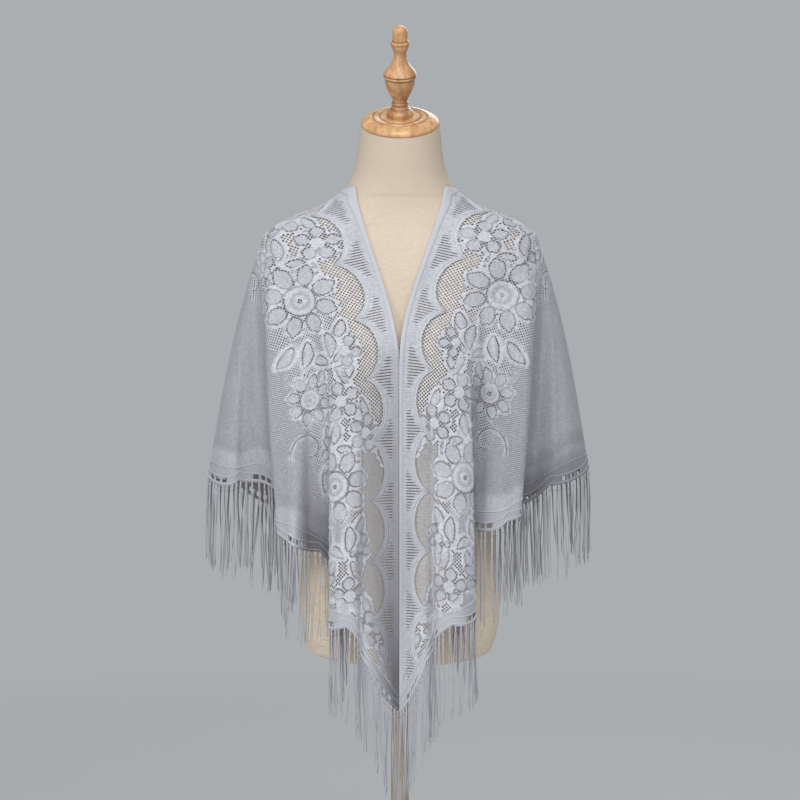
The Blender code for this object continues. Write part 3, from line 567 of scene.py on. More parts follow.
def lace_at(x, y):
    """What the lace is at places on the flat cut.

    weight is the yarn's fullness, fine, ground and field are the openness of its three knits,
    raised is its relief, edge is the way in from the outline of a motif's cell, and net and slit say
    where it is cut through.
    """
    x, inward = np.abs(x), -y
    arc = arc_depth(x)
    wave = 0.008 * np.sin(2 * np.pi * x / REPEAT + 1) + 0.005 * np.sin(2 * np.pi * x / SCALLOP)
    outer, inner = inward < arc, inward >= ORNAMENT_DEPTH + wave
    cord = outer & (inward > arc - ARC_BORDER)
    ornament = (inward > arc) & ~inner
    net = ornament & (inward < WINDOW_DEPTH + NET_RISE * np.sin(np.pi * (x - FIRST_FLOWER) / REPEAT) ** 2)
    lace = {
        "weight": np.select([cord, outer, net, ornament], WEIGHTS, FIELD_WEIGHT),
        "fine": np.zeros(x.shape),
        "raised": np.where(cord, 0.3, 0.0),
        "edge": arc + 0.0018 - inward,
        "ground": np.where(ornament & ~net, 1.0, 0.0),
        "field": np.where(inner, 1.0, 0.0),
        "net": net,
        "slit": outer & (SLIT_START < inward) & (inward < arc - ARC_BORDER - 0.0035) & (from_crest(x) > 0.36),
    }
    for kind, motif_x, motif_inward, size, turn in MOTIFS:
        cosine, sine = math.cos(math.radians(turn)), math.sin(math.radians(turn))
        for k in range(-1, 4):
            dx, dy = x - (FIRST_FLOWER + k * REPEAT + motif_x), motif_inward - inward
            near = (np.abs(dx) < size * 1.2) & (np.abs(dy) < size * 1.2) & (inward > arc + 0.0005)
            if near.any():
                inside, *values = SHAPES[kind](dx * cosine + dy * sine, -dx * sine + dy * cosine, size)
                inside &= near
                for name, value in zip(lace, (*values, 0.0, 0.0, False)):
                    lace[name] = np.where(inside, value, lace[name])
    lace["edge"] = np.clip(lace["edge"], -EDGE_REACH, EDGE_REACH)
    return lace


# ---------------------------------------------------------------- meshes
def linked(name, mesh, material):
    thing = bpy.data.objects.new(name, mesh)
    bpy.context.scene.collection.objects.link(thing)
    mesh.materials.append(material)
    mesh.shade_smooth()
    return thing


def mesh_from(name, points, faces):
    """A mesh from points and a list of arrays of faces, each with its own number of corners."""
    mesh = bpy.data.meshes.new(name)
    faces = [f for f in faces if len(f)]
    loops = np.concatenate([f.ravel() for f in faces])
    sizes = np.concatenate([np.full(len(f), f.shape[1]) for f in faces])
    mesh.vertices.add(len(points))
    mesh.vertices.foreach_set("co", np.asarray(points, np.float32).ravel())
    mesh.loops.add(len(loops))
    mesh.loops.foreach_set("vertex_index", loops.astype(np.int32))
    mesh.polygons.add(len(sizes))
    starts = np.concatenate([[0], np.cumsum(sizes)[:-1]])
    mesh.polygons.foreach_set("loop_start", starts.astype(np.int32))
    mesh.update(calc_edges=True)
    return mesh


def walled(outer, count):
    """The faces of a wall: its outer ones, the inner ones, count points on, and rims at open edges."""
    edges = outer[:, [0, 1, 1, 2, 2, 3, 3, 0]].reshape(-1, 2)
    keys = edges.min(1) * count + edges.max(1)
    _, first, uses = np.unique(keys, return_index=True, return_counts=True)
    b, a = edges[np.sort(first[uses == 1])].T
    rims = np.stack([a, b, b + count, a + count], -1)
    return np.concatenate([outer, outer[:, ::-1] + count, rims])


def with_values(mesh, **values):
    for name, value in values.items():
        layer = mesh.attributes.new(name, "FLOAT", "POINT")
        layer.data.foreach_set("value", np.asarray(value, np.float32))


def corner_numbers(mesh):
    """The number of the point at each corner of each face."""
    corner = np.empty(len(mesh.loops), np.int32)
    mesh.loops.foreach_get("vertex_index", corner)
    return corner


def with_uv(mesh, name, uv):
    layer = mesh.uv_layers.new(name=name)
    layer.data.foreach_set("uv", uv.astype(np.float32).ravel())


UV_SPAN = 0.9  # metres of the flat cut across the UV map


def with_flat_uv(mesh, flat):
    """Lays the flat cut's x and y into the UV map, at one scale."""
    uv = np.stack([flat[:, 0] / UV_SPAN, 1 + flat[:, 1] / UV_SPAN], -1)
    with_uv(mesh, "flat", uv[corner_numbers(mesh)])


def ring_faces(rings, sides, start=0):
    """Faces between rings of points, each ring's numbers following on the last one's."""
    index = start + np.arange(rings * sides).reshape(rings, sides)
    after = np.roll(index, -1, axis=1)
    quads = np.stack([index[:-1], after[:-1], after[1:], index[1:]], -1).reshape(-1, 4)
    return quads, index[0], index[-1]


TRIED_LENGTH, TRIED_DEPTH = 0.92, 0.64  # cells are tried out to a triangle a little larger than the cut
NET_HOLE = 0.71  # the net holes' share of a cell's width
FAR, NEAR = (1 + NET_HOLE) / 2, (1 - NET_HOLE) / 2
HOLE_SHARES = (FAR * FAR, FAR * NEAR, NEAR * NEAR, NEAR * FAR)  # of a cell's corners in one of its hole's
HEM_BAND, HEM_FADE = 0.030, 0.010  # the closed lace along the hem, and how far it thins out
STRIP_TOP = 0.0030  # the lattice starts this far in, under the edge strip
HEM_TOP = 0.0165  # and ends this far above the hem's line, under the hem strip
YARN_HALF, WEIGHT_HALF = 0.00028, 0.00022  # half the yarn's thickness, and what its fullness adds
RAISE = 0.0008  # the height of the relief


class Lattice:
    """The lace's cells on one half, on the diagonal to the long edge, and their points in space."""

    def __init__(self, drape, other):
        across, down = int(TRIED_LENGTH / STEP / 2), int(TRIED_DEPTH / STEP / 2)
        # corner (p, q) lies at x = (p + q) * STEP, y = (p - q) * STEP
        p, q = np.meshgrid(np.arange(-down, across), np.arange(-2, across), indexing="ij")
        centre_x, centre_y = (p + q + 1) * STEP, (p - q) * STEP
        wanted = (p + q >= (-1 if drape.side > 0 else 0)) & (centre_y < -STRIP_TOP)
        wanted &= centre_y > TRIED_DEPTH * (centre_x / TRIED_LENGTH - 1)
        spots = np.stack([np.abs(centre_x[wanted]), centre_y[wanted]], -1)
        shares, fractions, inside = drape.from_flat(spots)
        self.cells, self.share = np.zeros(p.shape, bool), np.zeros(p.shape)
        self.cells[wanted] = inside & (drape.above_hem(shares, fractions) > HEM_TOP)
        self.share[wanted] = shares
        self.holed = self.cells & lace_at(centre_x, centre_y)["net"]
        self.hole_number = np.full(p.shape, -1)
        self.lay(drape, other, *self.number_corners(p[0, 0], q[0, 0]))

    def number_corners(self, first_p, first_q):
        """Numbers the corners of cells and of holes, and gives where the cells' lie on the flat cut."""
        columns, rows = self.cells.shape
        used = np.zeros((columns + 1, rows + 1), bool)
        for i, j in ((0, 0), (0, 1), (1, 0), (1, 1)):
            used[i : i + columns, j : j + rows] |= self.cells
        at_p, at_q = np.nonzero(used)
        count = len(at_p)
        self.number = np.full(used.shape, -1)
        self.number[at_p, at_q] = np.arange(count)
        self.hole_number[self.holed] = count + 4 * np.arange(self.holed.sum())
        at_p, at_q = first_p + at_p, first_q + at_q
        return (at_p + at_q) * STEP, (at_p - at_q) * STEP

    def lay(self, drape, other, x, y):
        """Carries the corners onto the drape, with what the lace is at each."""
        flat = np.stack([np.abs(x), y], -1)
        shares, fractions, _ = drape.from_flat(flat)
        points, normals = drape.frame_at(shares, fractions)
        past = x < 0
        if past.any():
            points[past], normals[past] = other.frame_at(shares[past], fractions[past])
        lace = lace_at(x, y)
        above = drape.above_hem(shares, fractions)
        # only strands with gaps all round them are of the net's light yarn
        gaps = np.zeros(len(x))
        np.add.at(gaps, self.corners(self.holed), 1)
        weight = np.where(lace["net"] & (gaps < 4), NET_EDGE_WEIGHT, lace["weight"])
        # towards the hem the field closes
        openness = np.clip((above - HEM_BAND - 0.6 * hem_drop(shares)) / HEM_FADE, 0, 1)
        faded = HEM_WEIGHT + (weight - HEM_WEIGHT) * openness
        lace["weight"] = np.where(lace["field"] > 0, faded, weight)
        lace["field"] = lace["field"] * openness
        lace["edge"] = np.where(openness < 0.1, -EDGE_REACH, lace["edge"])
        half = YARN_HALF + WEIGHT_HALF * lace["weight"] * ~lace["net"]
        lift = lace["raised"] * RAISE
        outer = points + normals * (half + lift)[:, None]
        inner = points + normals * (0.3 * lift - half)[:, None]
        corners = self.corners(self.cells)
        one = outer[corners[0]]
        self.outward = np.cross(one[1] - one[0], one[3] - one[0]) @ normals[corners[0, 0]] > 0

        self.outer, self.inner, self.flat = map(self.with_holes, (outer, inner, flat))
        self.outer_normals = self.with_holes(self.shading(outer, corners))
        self.inner_normals = -self.with_holes(self.shading(inner, corners))
        names = ("weight", "fine", "ground", "field", "slit", "edge")
        self.values = {name: self.with_holes(lace[name].astype(float)) for name in names}
        self.values["shade"] = self.with_holes(shade_at(drape, shares, above, points))

    def with_holes(self, values):
        """Values at the cells' corners, and after them those at the holes' corners, between them."""
        columns = values.reshape(len(values), -1)
        at = columns[self.corners(self.holed)]
        inset = [sum(HOLE_SHARES[(m - k) % 4] * at[:, m] for m in range(4)) for k in range(4)]
        both = np.concatenate([columns, np.stack(inset, 1).reshape(-1, columns.shape[1])])
        return both.reshape((-1,) + values.shape[1:])

    def corners(self, cells):
        """The numbers of the four corners of cells, in turn."""
        i, j = np.nonzero(cells)
        n = self.number
        return np.stack([n[i, j], n[i + 1, j], n[i + 1, j + 1], n[i, j + 1]], -1)

    def shading(self, points, quads):
        """Smooth normals of all the cells of the half, so that its pieces meet without a line."""
        a, b, c, d = (points[quads[:, k]] for k in range(4))
        face = unit(np.cross(c - a, d - b)) * (1 if self.outward else -1)
        total = np.zeros_like(points)
        for k in range(4):
            np.add.at(total, quads[:, k], face)
        return unit(total)

    def piece(self, name, low, high, material):
        cells = self.cells & (self.share >= low) & (self.share < high)
        around = self.corners(cells & self.holed)
        inset = self.hole_number[cells & self.holed][:, None] + np.arange(4)
        onward = np.roll(inset, -1, axis=1)
        sides = np.stack([around, np.roll(around, -1, axis=1), onward, inset], -1).reshape(-1, 4)
        outer = np.concatenate([self.corners(cells & ~self.holed), sides])
        if not self.outward:
            outer = outer[:, ::-1]
        points = np.concatenate([self.outer, self.inner])
        normals = np.concatenate([self.outer_normals, self.inner_normals])
        picked, faces = np.unique(walled(outer, len(self.outer)), return_inverse=True)
        mesh = mesh_from(name, points[picked], [faces.reshape(-1, 4)])
        with_values(mesh, **{k: np.concatenate([v, v])[picked] for k, v in self.values.items()})
        with_flat_uv(mesh, np.concatenate([self.flat, self.flat])[picked])
        thing = linked(name, mesh, material)
        mesh.normals_split_custom_set_from_vertices(normals[picked].tolist())
        return thing


def sheet_mesh(name, drape, shares, fractions, above, half, flat, material, closed=None):
    """A wall on a grid of places (columns, rows) on a drape, with half its thickness on each side.

    above is the height over the hem's edge, and closed says which cells are closed; with None, all are.
    """
    points, normals = drape.frame_at(shares, fractions)
    shade = shade_at(drape, shares, above, points)
    columns, rows = shares.shape
    index = np.arange(columns * rows).reshape(columns, rows)
    quads = np.stack([index[:-1, :-1], index[1:, :-1], index[1:, 1:], index[:-1, 1:]], -1)
    outer = quads.reshape(-1, 4) if closed is None else quads[closed]
    one = points.reshape(-1, 3)[outer[0]]
    if np.cross(one[1] - one[0], one[3] - one[0]) @ normals.reshape(-1, 3)[outer[0, 0]] < 0:
        outer = outer[:, ::-1]
    thick = np.broadcast_to(half, shares.shape)[..., None] * normals
    both = np.concatenate([(points + thick).reshape(-1, 3), (points - thick).reshape(-1, 3)])
    mesh = mesh_from(name, both, [walled(outer, columns * rows)])
    with_values(mesh, shade=np.tile(shade.ravel(), 2))
    with_flat_uv(mesh, np.tile(flat.reshape(-1, 2), (2, 1)))
    return linked(name, mesh, material)


def tubes(name, cords, material, sides):
    """Cords joined as one mesh.

    Each is a line, the cloth's normals under it, half its width, half its height, and its shade.
    """
    points, faces, caps, shades, total = [], [], [], [], 0
    turn = np.linspace(0, 2 * math.pi, sides, endpoint=False)[None, :, None] + math.pi / sides
    for line, up, width, height, shade in cords:
        along = unit(np.gradient(line, axis=0))
        aside = unit(np.cross(along, up))
        up = unit(np.cross(aside, along))
        width, height = (np.broadcast_to(size, len(line))[:, None, None] for size in (width, height))
        ring = line[:, None] + aside[:, None] * np.cos(turn) * width + up[:, None] * np.sin(turn) * height
        quads, first, last = ring_faces(len(line), sides, total)
        faces.append(quads)
        caps += [first[::-1], last]
        points.append(ring.reshape(-1, 3))
        shades.append(np.repeat(np.broadcast_to(shade, len(line)), sides))
        total += len(line) * sides
    mesh = mesh_from(name, np.concatenate(points), [np.concatenate(faces), np.array(caps)])
    with_values(mesh, shade=np.concatenate(shades))
    return linked(name, mesh, material)


# ---------------------------------------------------------------- the lace's edges
# painted shade on the hem where it is turned from the light, by the share of the hem
SHADED = {
    "left": (
        (0.17, 0.22, 0.35, 0.39, 0.44, 0.47, 0.58, 0.68, 1),
        (0, 0.4, 0.35, 0.05, 0.05, 0.85, 0.7, 0.4, 0.3),
    ),
    "right": (
        (0.20, 0.24, 0.325, 0.35, 0.42, 0.46, 0.52, 0.62, 1),
        (0, 1, 1, 0.1, 0.1, 0.4, 0.2, 0.3, 0.3),
    ),
}
# painted shade in the fold behind the front panel, by the share of the hem and then by the height over it
HOLLOW_SHADE = {
    "left": (((0.20, 0.24, 0.345, 0.39), (0, 1, 1, 0)), ((0, 0.18, 0.24), (0.42, 0.42, 0))),
    "right": (
        ((0.20, 0.24, 0.325, 0.35), (0, 1, 1, 0)),
        ((0, 0.03, 0.06, 0.10, 0.17), (1, 0.8, 0.5, 0.3, 0)),
    ),
}
# painted shade on the panels towards the middle of the front: how far out, over what width, and by the height
INNER_SHADE = {
    "left": (0.036, 0.022, (0.60, 0.80, 1.02), (0.25, 0.20, 0)),
    "right": (
        0.066, 0.032, (0.45, 0.60, 0.68, 0.76, 0.86, 0.96, 1.05),
        (0.95, 0.92, 0.62, 0.5, 0.4, 0.26, 0),
    ),
}
INNER_SHADE_TAPER = 0.16  # how much narrower that gets, for each metre down the panels' tips


def shade_at(drape, shares, above, points):
    """How dark the painted shade makes the cloth's hollows."""
    hem = np.interp(shares, *SHADED[drape.word]) * np.clip(1.4 - above / 0.045, 0, 1)
    # the painted shade in the fold behind the front panel
    along, up = HOLLOW_SHADE[drape.word]
    hollow = np.interp(shares, *along) * np.interp(above, *up)
    # the painted shade towards the middle of the front, on the front only
    reach, width, heights, depths = INNER_SHADE[drape.word]
    out, up = np.abs(points[..., 0]), points[..., 2]
    reach = reach - INNER_SHADE_TAPER * np.clip(0.76 - up, 0, 0.16)
    inner = np.clip((reach - out) / width, 0, 1) * np.interp(up, heights, depths)
    return np.maximum(np.maximum(hem, hollow), inner * (points[..., 1] < 0))


def hem_drop(shares):
    """How far the scalloped edge hangs below the hem's line."""
    return SCALLOP_DROP * np.sin(np.pi * ((shares * SCALLOPS_PER_SIDE) % 1.0)) ** 0.8


def hem_column_shares(drape):
    """Hem shares of the columns of the solids, which have the openings between them."""
    pitch = drape.hem_length / SCALLOPS_PER_SIDE
    plain = (pitch - LADDERS * LADDER_GAP - (LADDERS - 1) * LADDER_BAR) / 2 / 3
    ladder = ([LADDER_GAP, LADDER_BAR] * LADDERS)[:-1]
    widths = [plain] * 3 + ladder + [plain] * 3
    opened = np.array([width == LADDER_GAP for width in widths] * SCALLOPS_PER_SIDE)
    shares = np.concatenate([[0], np.cumsum(widths * SCALLOPS_PER_SIDE)]) / drape.hem_length
    return np.minimum(shares, 1), opened


BAND_HALF = 0.0009
BAND_ROWS = np.array([0, 0.0008, 0.0022, 0.0036, 0.0052])
BAND_SHAPE = np.array([0.50, 0.95, 1.00, 0.85, 0.60])


def edge_band(name, drape, first_x, last_x, material):
    """The plain knitted band along the long edge, between two places along the flat cut."""
    columns = max(int((last_x - first_x) / 0.0026), 8)
    x = np.linspace(first_x, last_x, columns + 1)
    flat = np.stack(np.broadcast_arrays(x[:, None], -BAND_ROWS[None] - 1e-5), -1)
    shares, fractions, _ = (found.reshape(flat.shape[:2]) for found in drape.from_flat(flat.reshape(-1, 2)))
    above = drape.above_hem(shares, fractions)
    return sheet_mesh(name, drape, shares, fractions, above, BAND_SHAPE * BAND_HALF, flat, material)


HEM_ROWS = np.array([0.0, 0.0012, 0.0035, 0.0050, 0.0080, 0.0110, 0.0125, 0.0140, 0.0165, 0.0190])
HEM_HALVES = np.array([0.55, 0.90, 1.05, 0.95, 0.80, 0.95, 1.15, 0.90, 0.90, 0.80]) * 0.00085
HEM_STEPS = 2  # cells of the hem strip between two columns of the solids


def hem_strip(name, drape, first, last, material):
    """The scalloped border along the hem, with the openings of the ladder cut through it."""
    columns, opened = hem_column_shares(drape)
    columns, opened = columns[first : last + 1], opened[first:last]
    steps = np.arange((len(columns) - 1) * HEM_STEPS + 1) / HEM_STEPS
    fine = np.interp(steps, np.arange(len(columns)), columns)
    bottom = drape.lengths(fine) + hem_drop(fine)
    top = drape.lengths(fine)[:, None] - (HEM_TOP + 0.0025)
    rows = bottom[:, None] - HEM_ROWS[None]
    # above the openings the rows spread up to where the lattice ends
    spread = np.clip((np.arange(len(HEM_ROWS)) - 6) / (len(HEM_ROWS) - 7), 0, 1)
    rows = np.where(spread > 0, rows[:, 6:7] + (top - rows[:, 6:7]) * spread, rows)
    fractions = rows / drape.lengths(fine)[:, None]
    shares = np.broadcast_to(fine[:, None], fractions.shape)
    flat = drape.flat_at(shares, fractions)
    closed = np.ones((len(fine) - 1, len(HEM_ROWS) - 1), bool)
    closed[np.repeat(opened, HEM_STEPS), 3:5] = False
    return sheet_mesh(name, drape, shares, fractions, 0, HEM_HALVES, flat, material, closed)


CORD_HALF_WIDTH, CORD_HALF_HEIGHT, CORD_LIFT = 0.00095, 0.00070, 0.0008
CORD_TRACKS = 0.0006, 0.0044  # how far in from the arcs' line the doubled cord's two strands run


def arc_cords(name, drape, first_x, last_x, material):
    """The doubled cord along the scalloped arcs whose middles lie between two places."""
    cords = []
    for middle in np.arange(ARCS) * SCALLOP:
        if not first_x <= middle < last_x:
            continue
        x = np.linspace(max(middle - SCALLOP / 2, 0), min(middle + SCALLOP / 2, ARCS_END), 33)
        for back in CORD_TRACKS:
            shares, fractions, inside = drape.from_flat(np.stack([x, back - arc_depth(x)], -1))
            above = drape.above_hem(shares, fractions)
            keep = inside & (above > 0.004)
            if keep.sum() < 6:
                continue
            points, normals = drape.frame_at(shares[keep], fractions[keep])
            steps = np.arange(len(points))
            size = np.minimum(1, 0.5 + np.minimum(steps, steps[::-1]) / 3)
            width, height = CORD_HALF_WIDTH * size, CORD_HALF_HEIGHT * size
            shade = shade_at(drape, shares[keep], above[keep], points)
            cords.append((points + normals * CORD_LIFT, normals, width, height, shade))
    return tubes(name, cords, material, 6) if cords else None


# how high over the edge each of the hem's cords runs, and how far it follows the scallops
HEM_CORDS = (0.0030, 1.0), (0.0128, 1.0), (0.0180, 0.0)


def hem_cords(name, drape, first, last, material):
    """Two raised cords, above and below the openings, and a third along the border's top."""
    columns, _ = hem_column_shares(drape)
    low, high = columns[first], columns[last]
    shares = np.linspace(low, high, int((high - low) * drape.hem_length / 0.0030) + 2)
    lengths = drape.lengths(shares)
    cords = []
    for rise, hangs in HEM_CORDS:
        points, normals = drape.frame_at(shares, (lengths + hangs * hem_drop(shares) - rise) / lengths)
        shade = 0.7 * shade_at(drape, shares, 0, points)
        cords.append((points + normals * 0.0009, normals, 0.0008, 0.0006, shade))
    return tubes(name, cords, material, 6)


# ---------------------------------------------------------------- the fringe
BUNDLE_PITCH = 0.0080
STRANDS, STRAND_APART = 2, 0.0013
STRAND_HALF, STRAND_TAPER = 0.00078, 0.00022
LEAN, DRIFT, WANDER, SWING = 0.0035, 0.004, 0.0010, 0.0011  # how far the strands stray, in four ways
KNOT_LENGTH = 0.0095
KNOT_SHAPE = np.array([0.7, 1.25, 1.0, 1.45, 1.3, 0.8]) * 0.00125


def fringe(name, drape, low, high, material, generator):
    """Knotted bundles along a stretch of the hem, each with a few strands that hang from it."""
    count = max(int(round((high - low) * drape.hem_length / BUNDLE_PITCH)), 2)
    shares = low + (np.arange(count) + 0.5) * (high - low) / count
    shares = shares + generator.uniform(-0.18, 0.18, count) * (high - low) / count
    lengths = drape.lengths(shares)
    bottom = lengths + hem_drop(shares)
    edge, normals = drape.frame_at(shares, (bottom - 0.0012) / lengths)
    down = unit(edge - drape.at(shares, (bottom - 0.010) / lengths))
    cords = []
    s, t = np.linspace(0, 1, len(KNOT_SHAPE))[:, None], np.linspace(0, 1, 13)[:, None]
    drift = np.cumsum(generator.normal(0, 1, (count, 2)), axis=0)
    drift -= drift.mean(0)
    drift /= np.abs(drift).max() + 1e-9
    fall = np.array([0, 0, -1.0])
    for k in range(count):
        start, out, way = edge[k], normals[k], unit(down[k] + 0.8 * fall)
        cords.append((start + way * s * KNOT_LENGTH, out, KNOT_SHAPE, KNOT_SHAPE * 0.85, 0))
        aside = unit(np.cross(out, way))
        root = start + way * KNOT_LENGTH * 0.8
        lean = generator.normal(0, LEAN, 2) + DRIFT * drift[k]
        for m in range(STRANDS):
            length = FRINGE_LENGTH * (1 + 0.05 * math.sin(shares[k] * 60) + generator.uniform(-0.07, 0.04))
            length -= KNOT_LENGTH * 0.8
            phase, speed = generator.uniform(0, 2 * math.pi), generator.uniform(5, 9)
            turned = way * (1 - np.exp(-5 * t)) / 5 + fall * (t - (1 - np.exp(-5 * t)) / 5)
            line = root + aside * (m - (STRANDS - 1) / 2) * STRAND_APART + turned * length
            wander = generator.normal(0, WANDER, 2)
            swing = SWING * np.sin(phase + speed * t) - SWING * math.sin(phase)
            line = line + aside * (lean[0] * t**1.5 + wander[0] * t + swing * t**0.5)
            line = line + out * (lean[1] * 0.6 * t**1.5 + wander[1] * 0.6 * t + 0.6 * swing * t**0.5)
            taper = (STRAND_HALF - STRAND_TAPER * t[:, 0]) * generator.uniform(0.9, 1.12)
            taper[-1] *= 0.45
            cords.append((line, out, taper, taper, 0))
    # strands over the form are kept clear of it
    lines, *others = zip(*cords)
    points = np.concatenate(lines)
    held = points[:, 2] > FORM_BASE - 0.004
    points[held] = pushed_clear(points[held], 0.003)
    lines = np.split(points, np.cumsum([len(line) for line in lines])[:-1])
    return tubes(name, list(zip(lines, *others)), material, 4)


# ---------------------------------------------------------------- the form and its stand
COLLAR_SEAM, SLANT_START = 0.626, 0.640  # heights on the neck: its seam, and where its slanted top begins
COVER_WIDTH = 0.80  # the cover's girth on its UV map, in metres


def build_torso(material):
    """The linen-covered torso, lofted finely through its sections, with a slanted neck top."""
    sides = 128
    azimuths = np.linspace(0, 2 * math.pi, sides + 1)
    coarse = FORM_SECTIONS[:, 0]
    heights = np.unique(np.concatenate([np.linspace(a, b, 6) for a, b in zip(coarse, coarse[1:])]))
    a, h = np.meshgrid(azimuths, heights)
    seam = np.exp(-(((h - COLLAR_SEAM) / 0.0022) ** 2)) * 0.0008
    radius = form_radius(a, h + FORM_BASE) - seam
    x, y = radius * np.sin(a), -radius * np.cos(a)
    lean = np.clip((h - SLANT_START) / (NECK_TOP - SLANT_START), 0, 1)
    points = np.stack([x, y, FORM_BASE + h + lean * math.tan(NECK_TILT) * y], -1)[:, :-1]
    quads, bottom, top = ring_faces(len(heights), sides)
    mesh = mesh_from("torso_cover", points.reshape(-1, 3), [quads, bottom[None, ::-1], top[None]])
    corner = corner_numbers(mesh)
    column = corner % sides
    # the last column of faces ends at the map's far side, not back at its start
    lap = column[: quads.size].reshape(-1, 4)
    wraps = np.zeros(len(corner), bool)
    wraps[: quads.size] = ((lap == 0) & (lap == sides - 1).any(1, keepdims=True)).ravel()
    with_uv(mesh, "cloth", np.stack([(column / sides + wraps) * COVER_WIDTH, heights[corner // sides]], -1))
    thing = linked("torso_cover", mesh, material)
    mesh.set_sharp_from_angle(angle=math.radians(40))
    return thing


def turned(name, profile, material, place=(0, 0, 0), tilt=0.0, segments=72):
    """A solid turned about its axis, from (radius, height) points that run from the top down."""
    profile = np.array(profile)
    turn = np.linspace(0, 2 * math.pi, segments, endpoint=False)
    radius, z = profile[1:-1, :1], profile[1:-1, 1:] + 0 * turn
    x, y = radius * np.cos(turn), radius * np.sin(turn)
    cosine, sine = math.cos(tilt), math.sin(tilt)
    points = np.stack([x, y * cosine - z * sine, y * sine + z * cosine], -1).reshape(-1, 3) + place
    quads, top, bottom = ring_faces(len(radius), segments)
    mesh = mesh_from(name, points, [quads[:, ::-1], top[None], bottom[None, ::-1]])
    # how hollow the profile is at each ring, for the painted shade in its grooves
    before, after = profile[1:-1] - profile[:-2], profile[2:] - profile[1:-1]
    long = np.linalg.norm(before, axis=1), np.linalg.norm(after, axis=1)
    cross = before[:, 0] * after[:, 1] - before[:, 1] * after[:, 0]
    curve = cross / (long[0] * long[1]) / (long[0] + long[1]) * 2
    with_values(mesh, groove=np.repeat(np.clip(curve * 0.0016 - 0.1, 0, 1), segments))
    thing = linked(name, mesh, material)
    mesh.set_sharp_from_angle(angle=math.radians(42))
    return thing


def smoothed_profile(profile):
    """More points along a turned profile, on a smooth curve through the ones given."""
    profile = np.array(profile)
    run = run_along(profile)
    at = np.unique(np.concatenate([np.linspace(a, b, 5) for a, b in zip(run, run[1:])]))
    return np.stack([smooth_through(run, column, at, steady=True) for column in profile.T], -1)


def build_wood(material, finial_material, pole_material, foot_material):
    """The wooden pieces, by the node that each replaces."""
    top = 0.0125
    cap = [
        (0, top), (0.0265, top), (0.0275, 0.0113), (0.0285, 0.0112), (0.0294, 0.0120), (0.0350, 0.0120),
        (0.0362, 0.0104), (0.0376, 0.0102), (0.0390, 0.0112), (0.0440, 0.0100), (0.0490, 0.0072),
        (0.0516, 0.0046), (0.0525, 0.0024), (0.0518, 0.0004), (0.0490, 0), (0, 0),
    ]
    finial = [
        (0, 0.1317), (0.0050, 0.1308), (0.0085, 0.1280), (0.0101, 0.1230), (0.0099, 0.1100),
        (0.0124, 0.1090), (0.0130, 0.1070), (0.0122, 0.1050), (0.0112, 0.0995), (0.0092, 0.0955),
        (0.0084, 0.0925), (0.0092, 0.0840), (0.0124, 0.0760), (0.0180, 0.0685), (0.0212, 0.0640),
        (0.0221, 0.0622), (0.0209, 0.0606), (0.0224, 0.0592), (0.0221, 0.0574), (0.0203, 0.0560),
        (0.0200, 0.0490), (0.0175, 0.0405), (0.0133, 0.0310), (0.0100, 0.0235), (0.0098, 0.0210),
        (0.0114, 0.0190), (0.0104, 0.0160), (0.0114, 0.0130), (0.0118, 0.0105), (0.0155, 0.0082),
        (0.0180, 0.0040), (0.0180, 0), (0, 0),
    ]
    finial = [(r, FINIAL_HEIGHT * z / finial[0][1] + top + SEAM_GAP) for r, z in finial]
    smooth = [finial[0], *smoothed_profile(finial[1:-1]).tolist(), finial[-1]]
    rim = ((0.012, 0), (0.006, 0.0015), (0.002, 0.0045), (0, 0.009), (0, 0.019), (0.003, STAND_THICK))
    foot = [(0, STAND_THICK), *((STAND_RADIUS - inward, STAND_THICK - down) for inward, down in rim), (0, 0)]
    low, high = STAND_THICK + SEAM_GAP, FORM_BASE - SEAM_GAP
    pole = [
        (0, high), (0.036, high), (0.036, high - 0.006), (0.020, high - 0.012), (0.0175, high - 0.030),
        (POLE_RADIUS, high - 0.034), (POLE_RADIUS, low + 0.040), (0.019, low + 0.034),
        (0.021, low + 0.012), (0.034, low + 0.006), (0.034, low), (0, low),
    ]
    neck = (0, 0, FORM_BASE + NECK_TOP + SEAM_GAP)
    return {
        "neck_cap": turned("neck_cap_turned", cap, material, neck, NECK_TILT),
        "finial": turned("finial_turned", smooth, finial_material, neck, NECK_TILT),
        "stand_foot": turned("stand_foot_turned", foot, foot_material, segments=128),
        "pole": turned("pole_turned", pole, pole_material),
    }


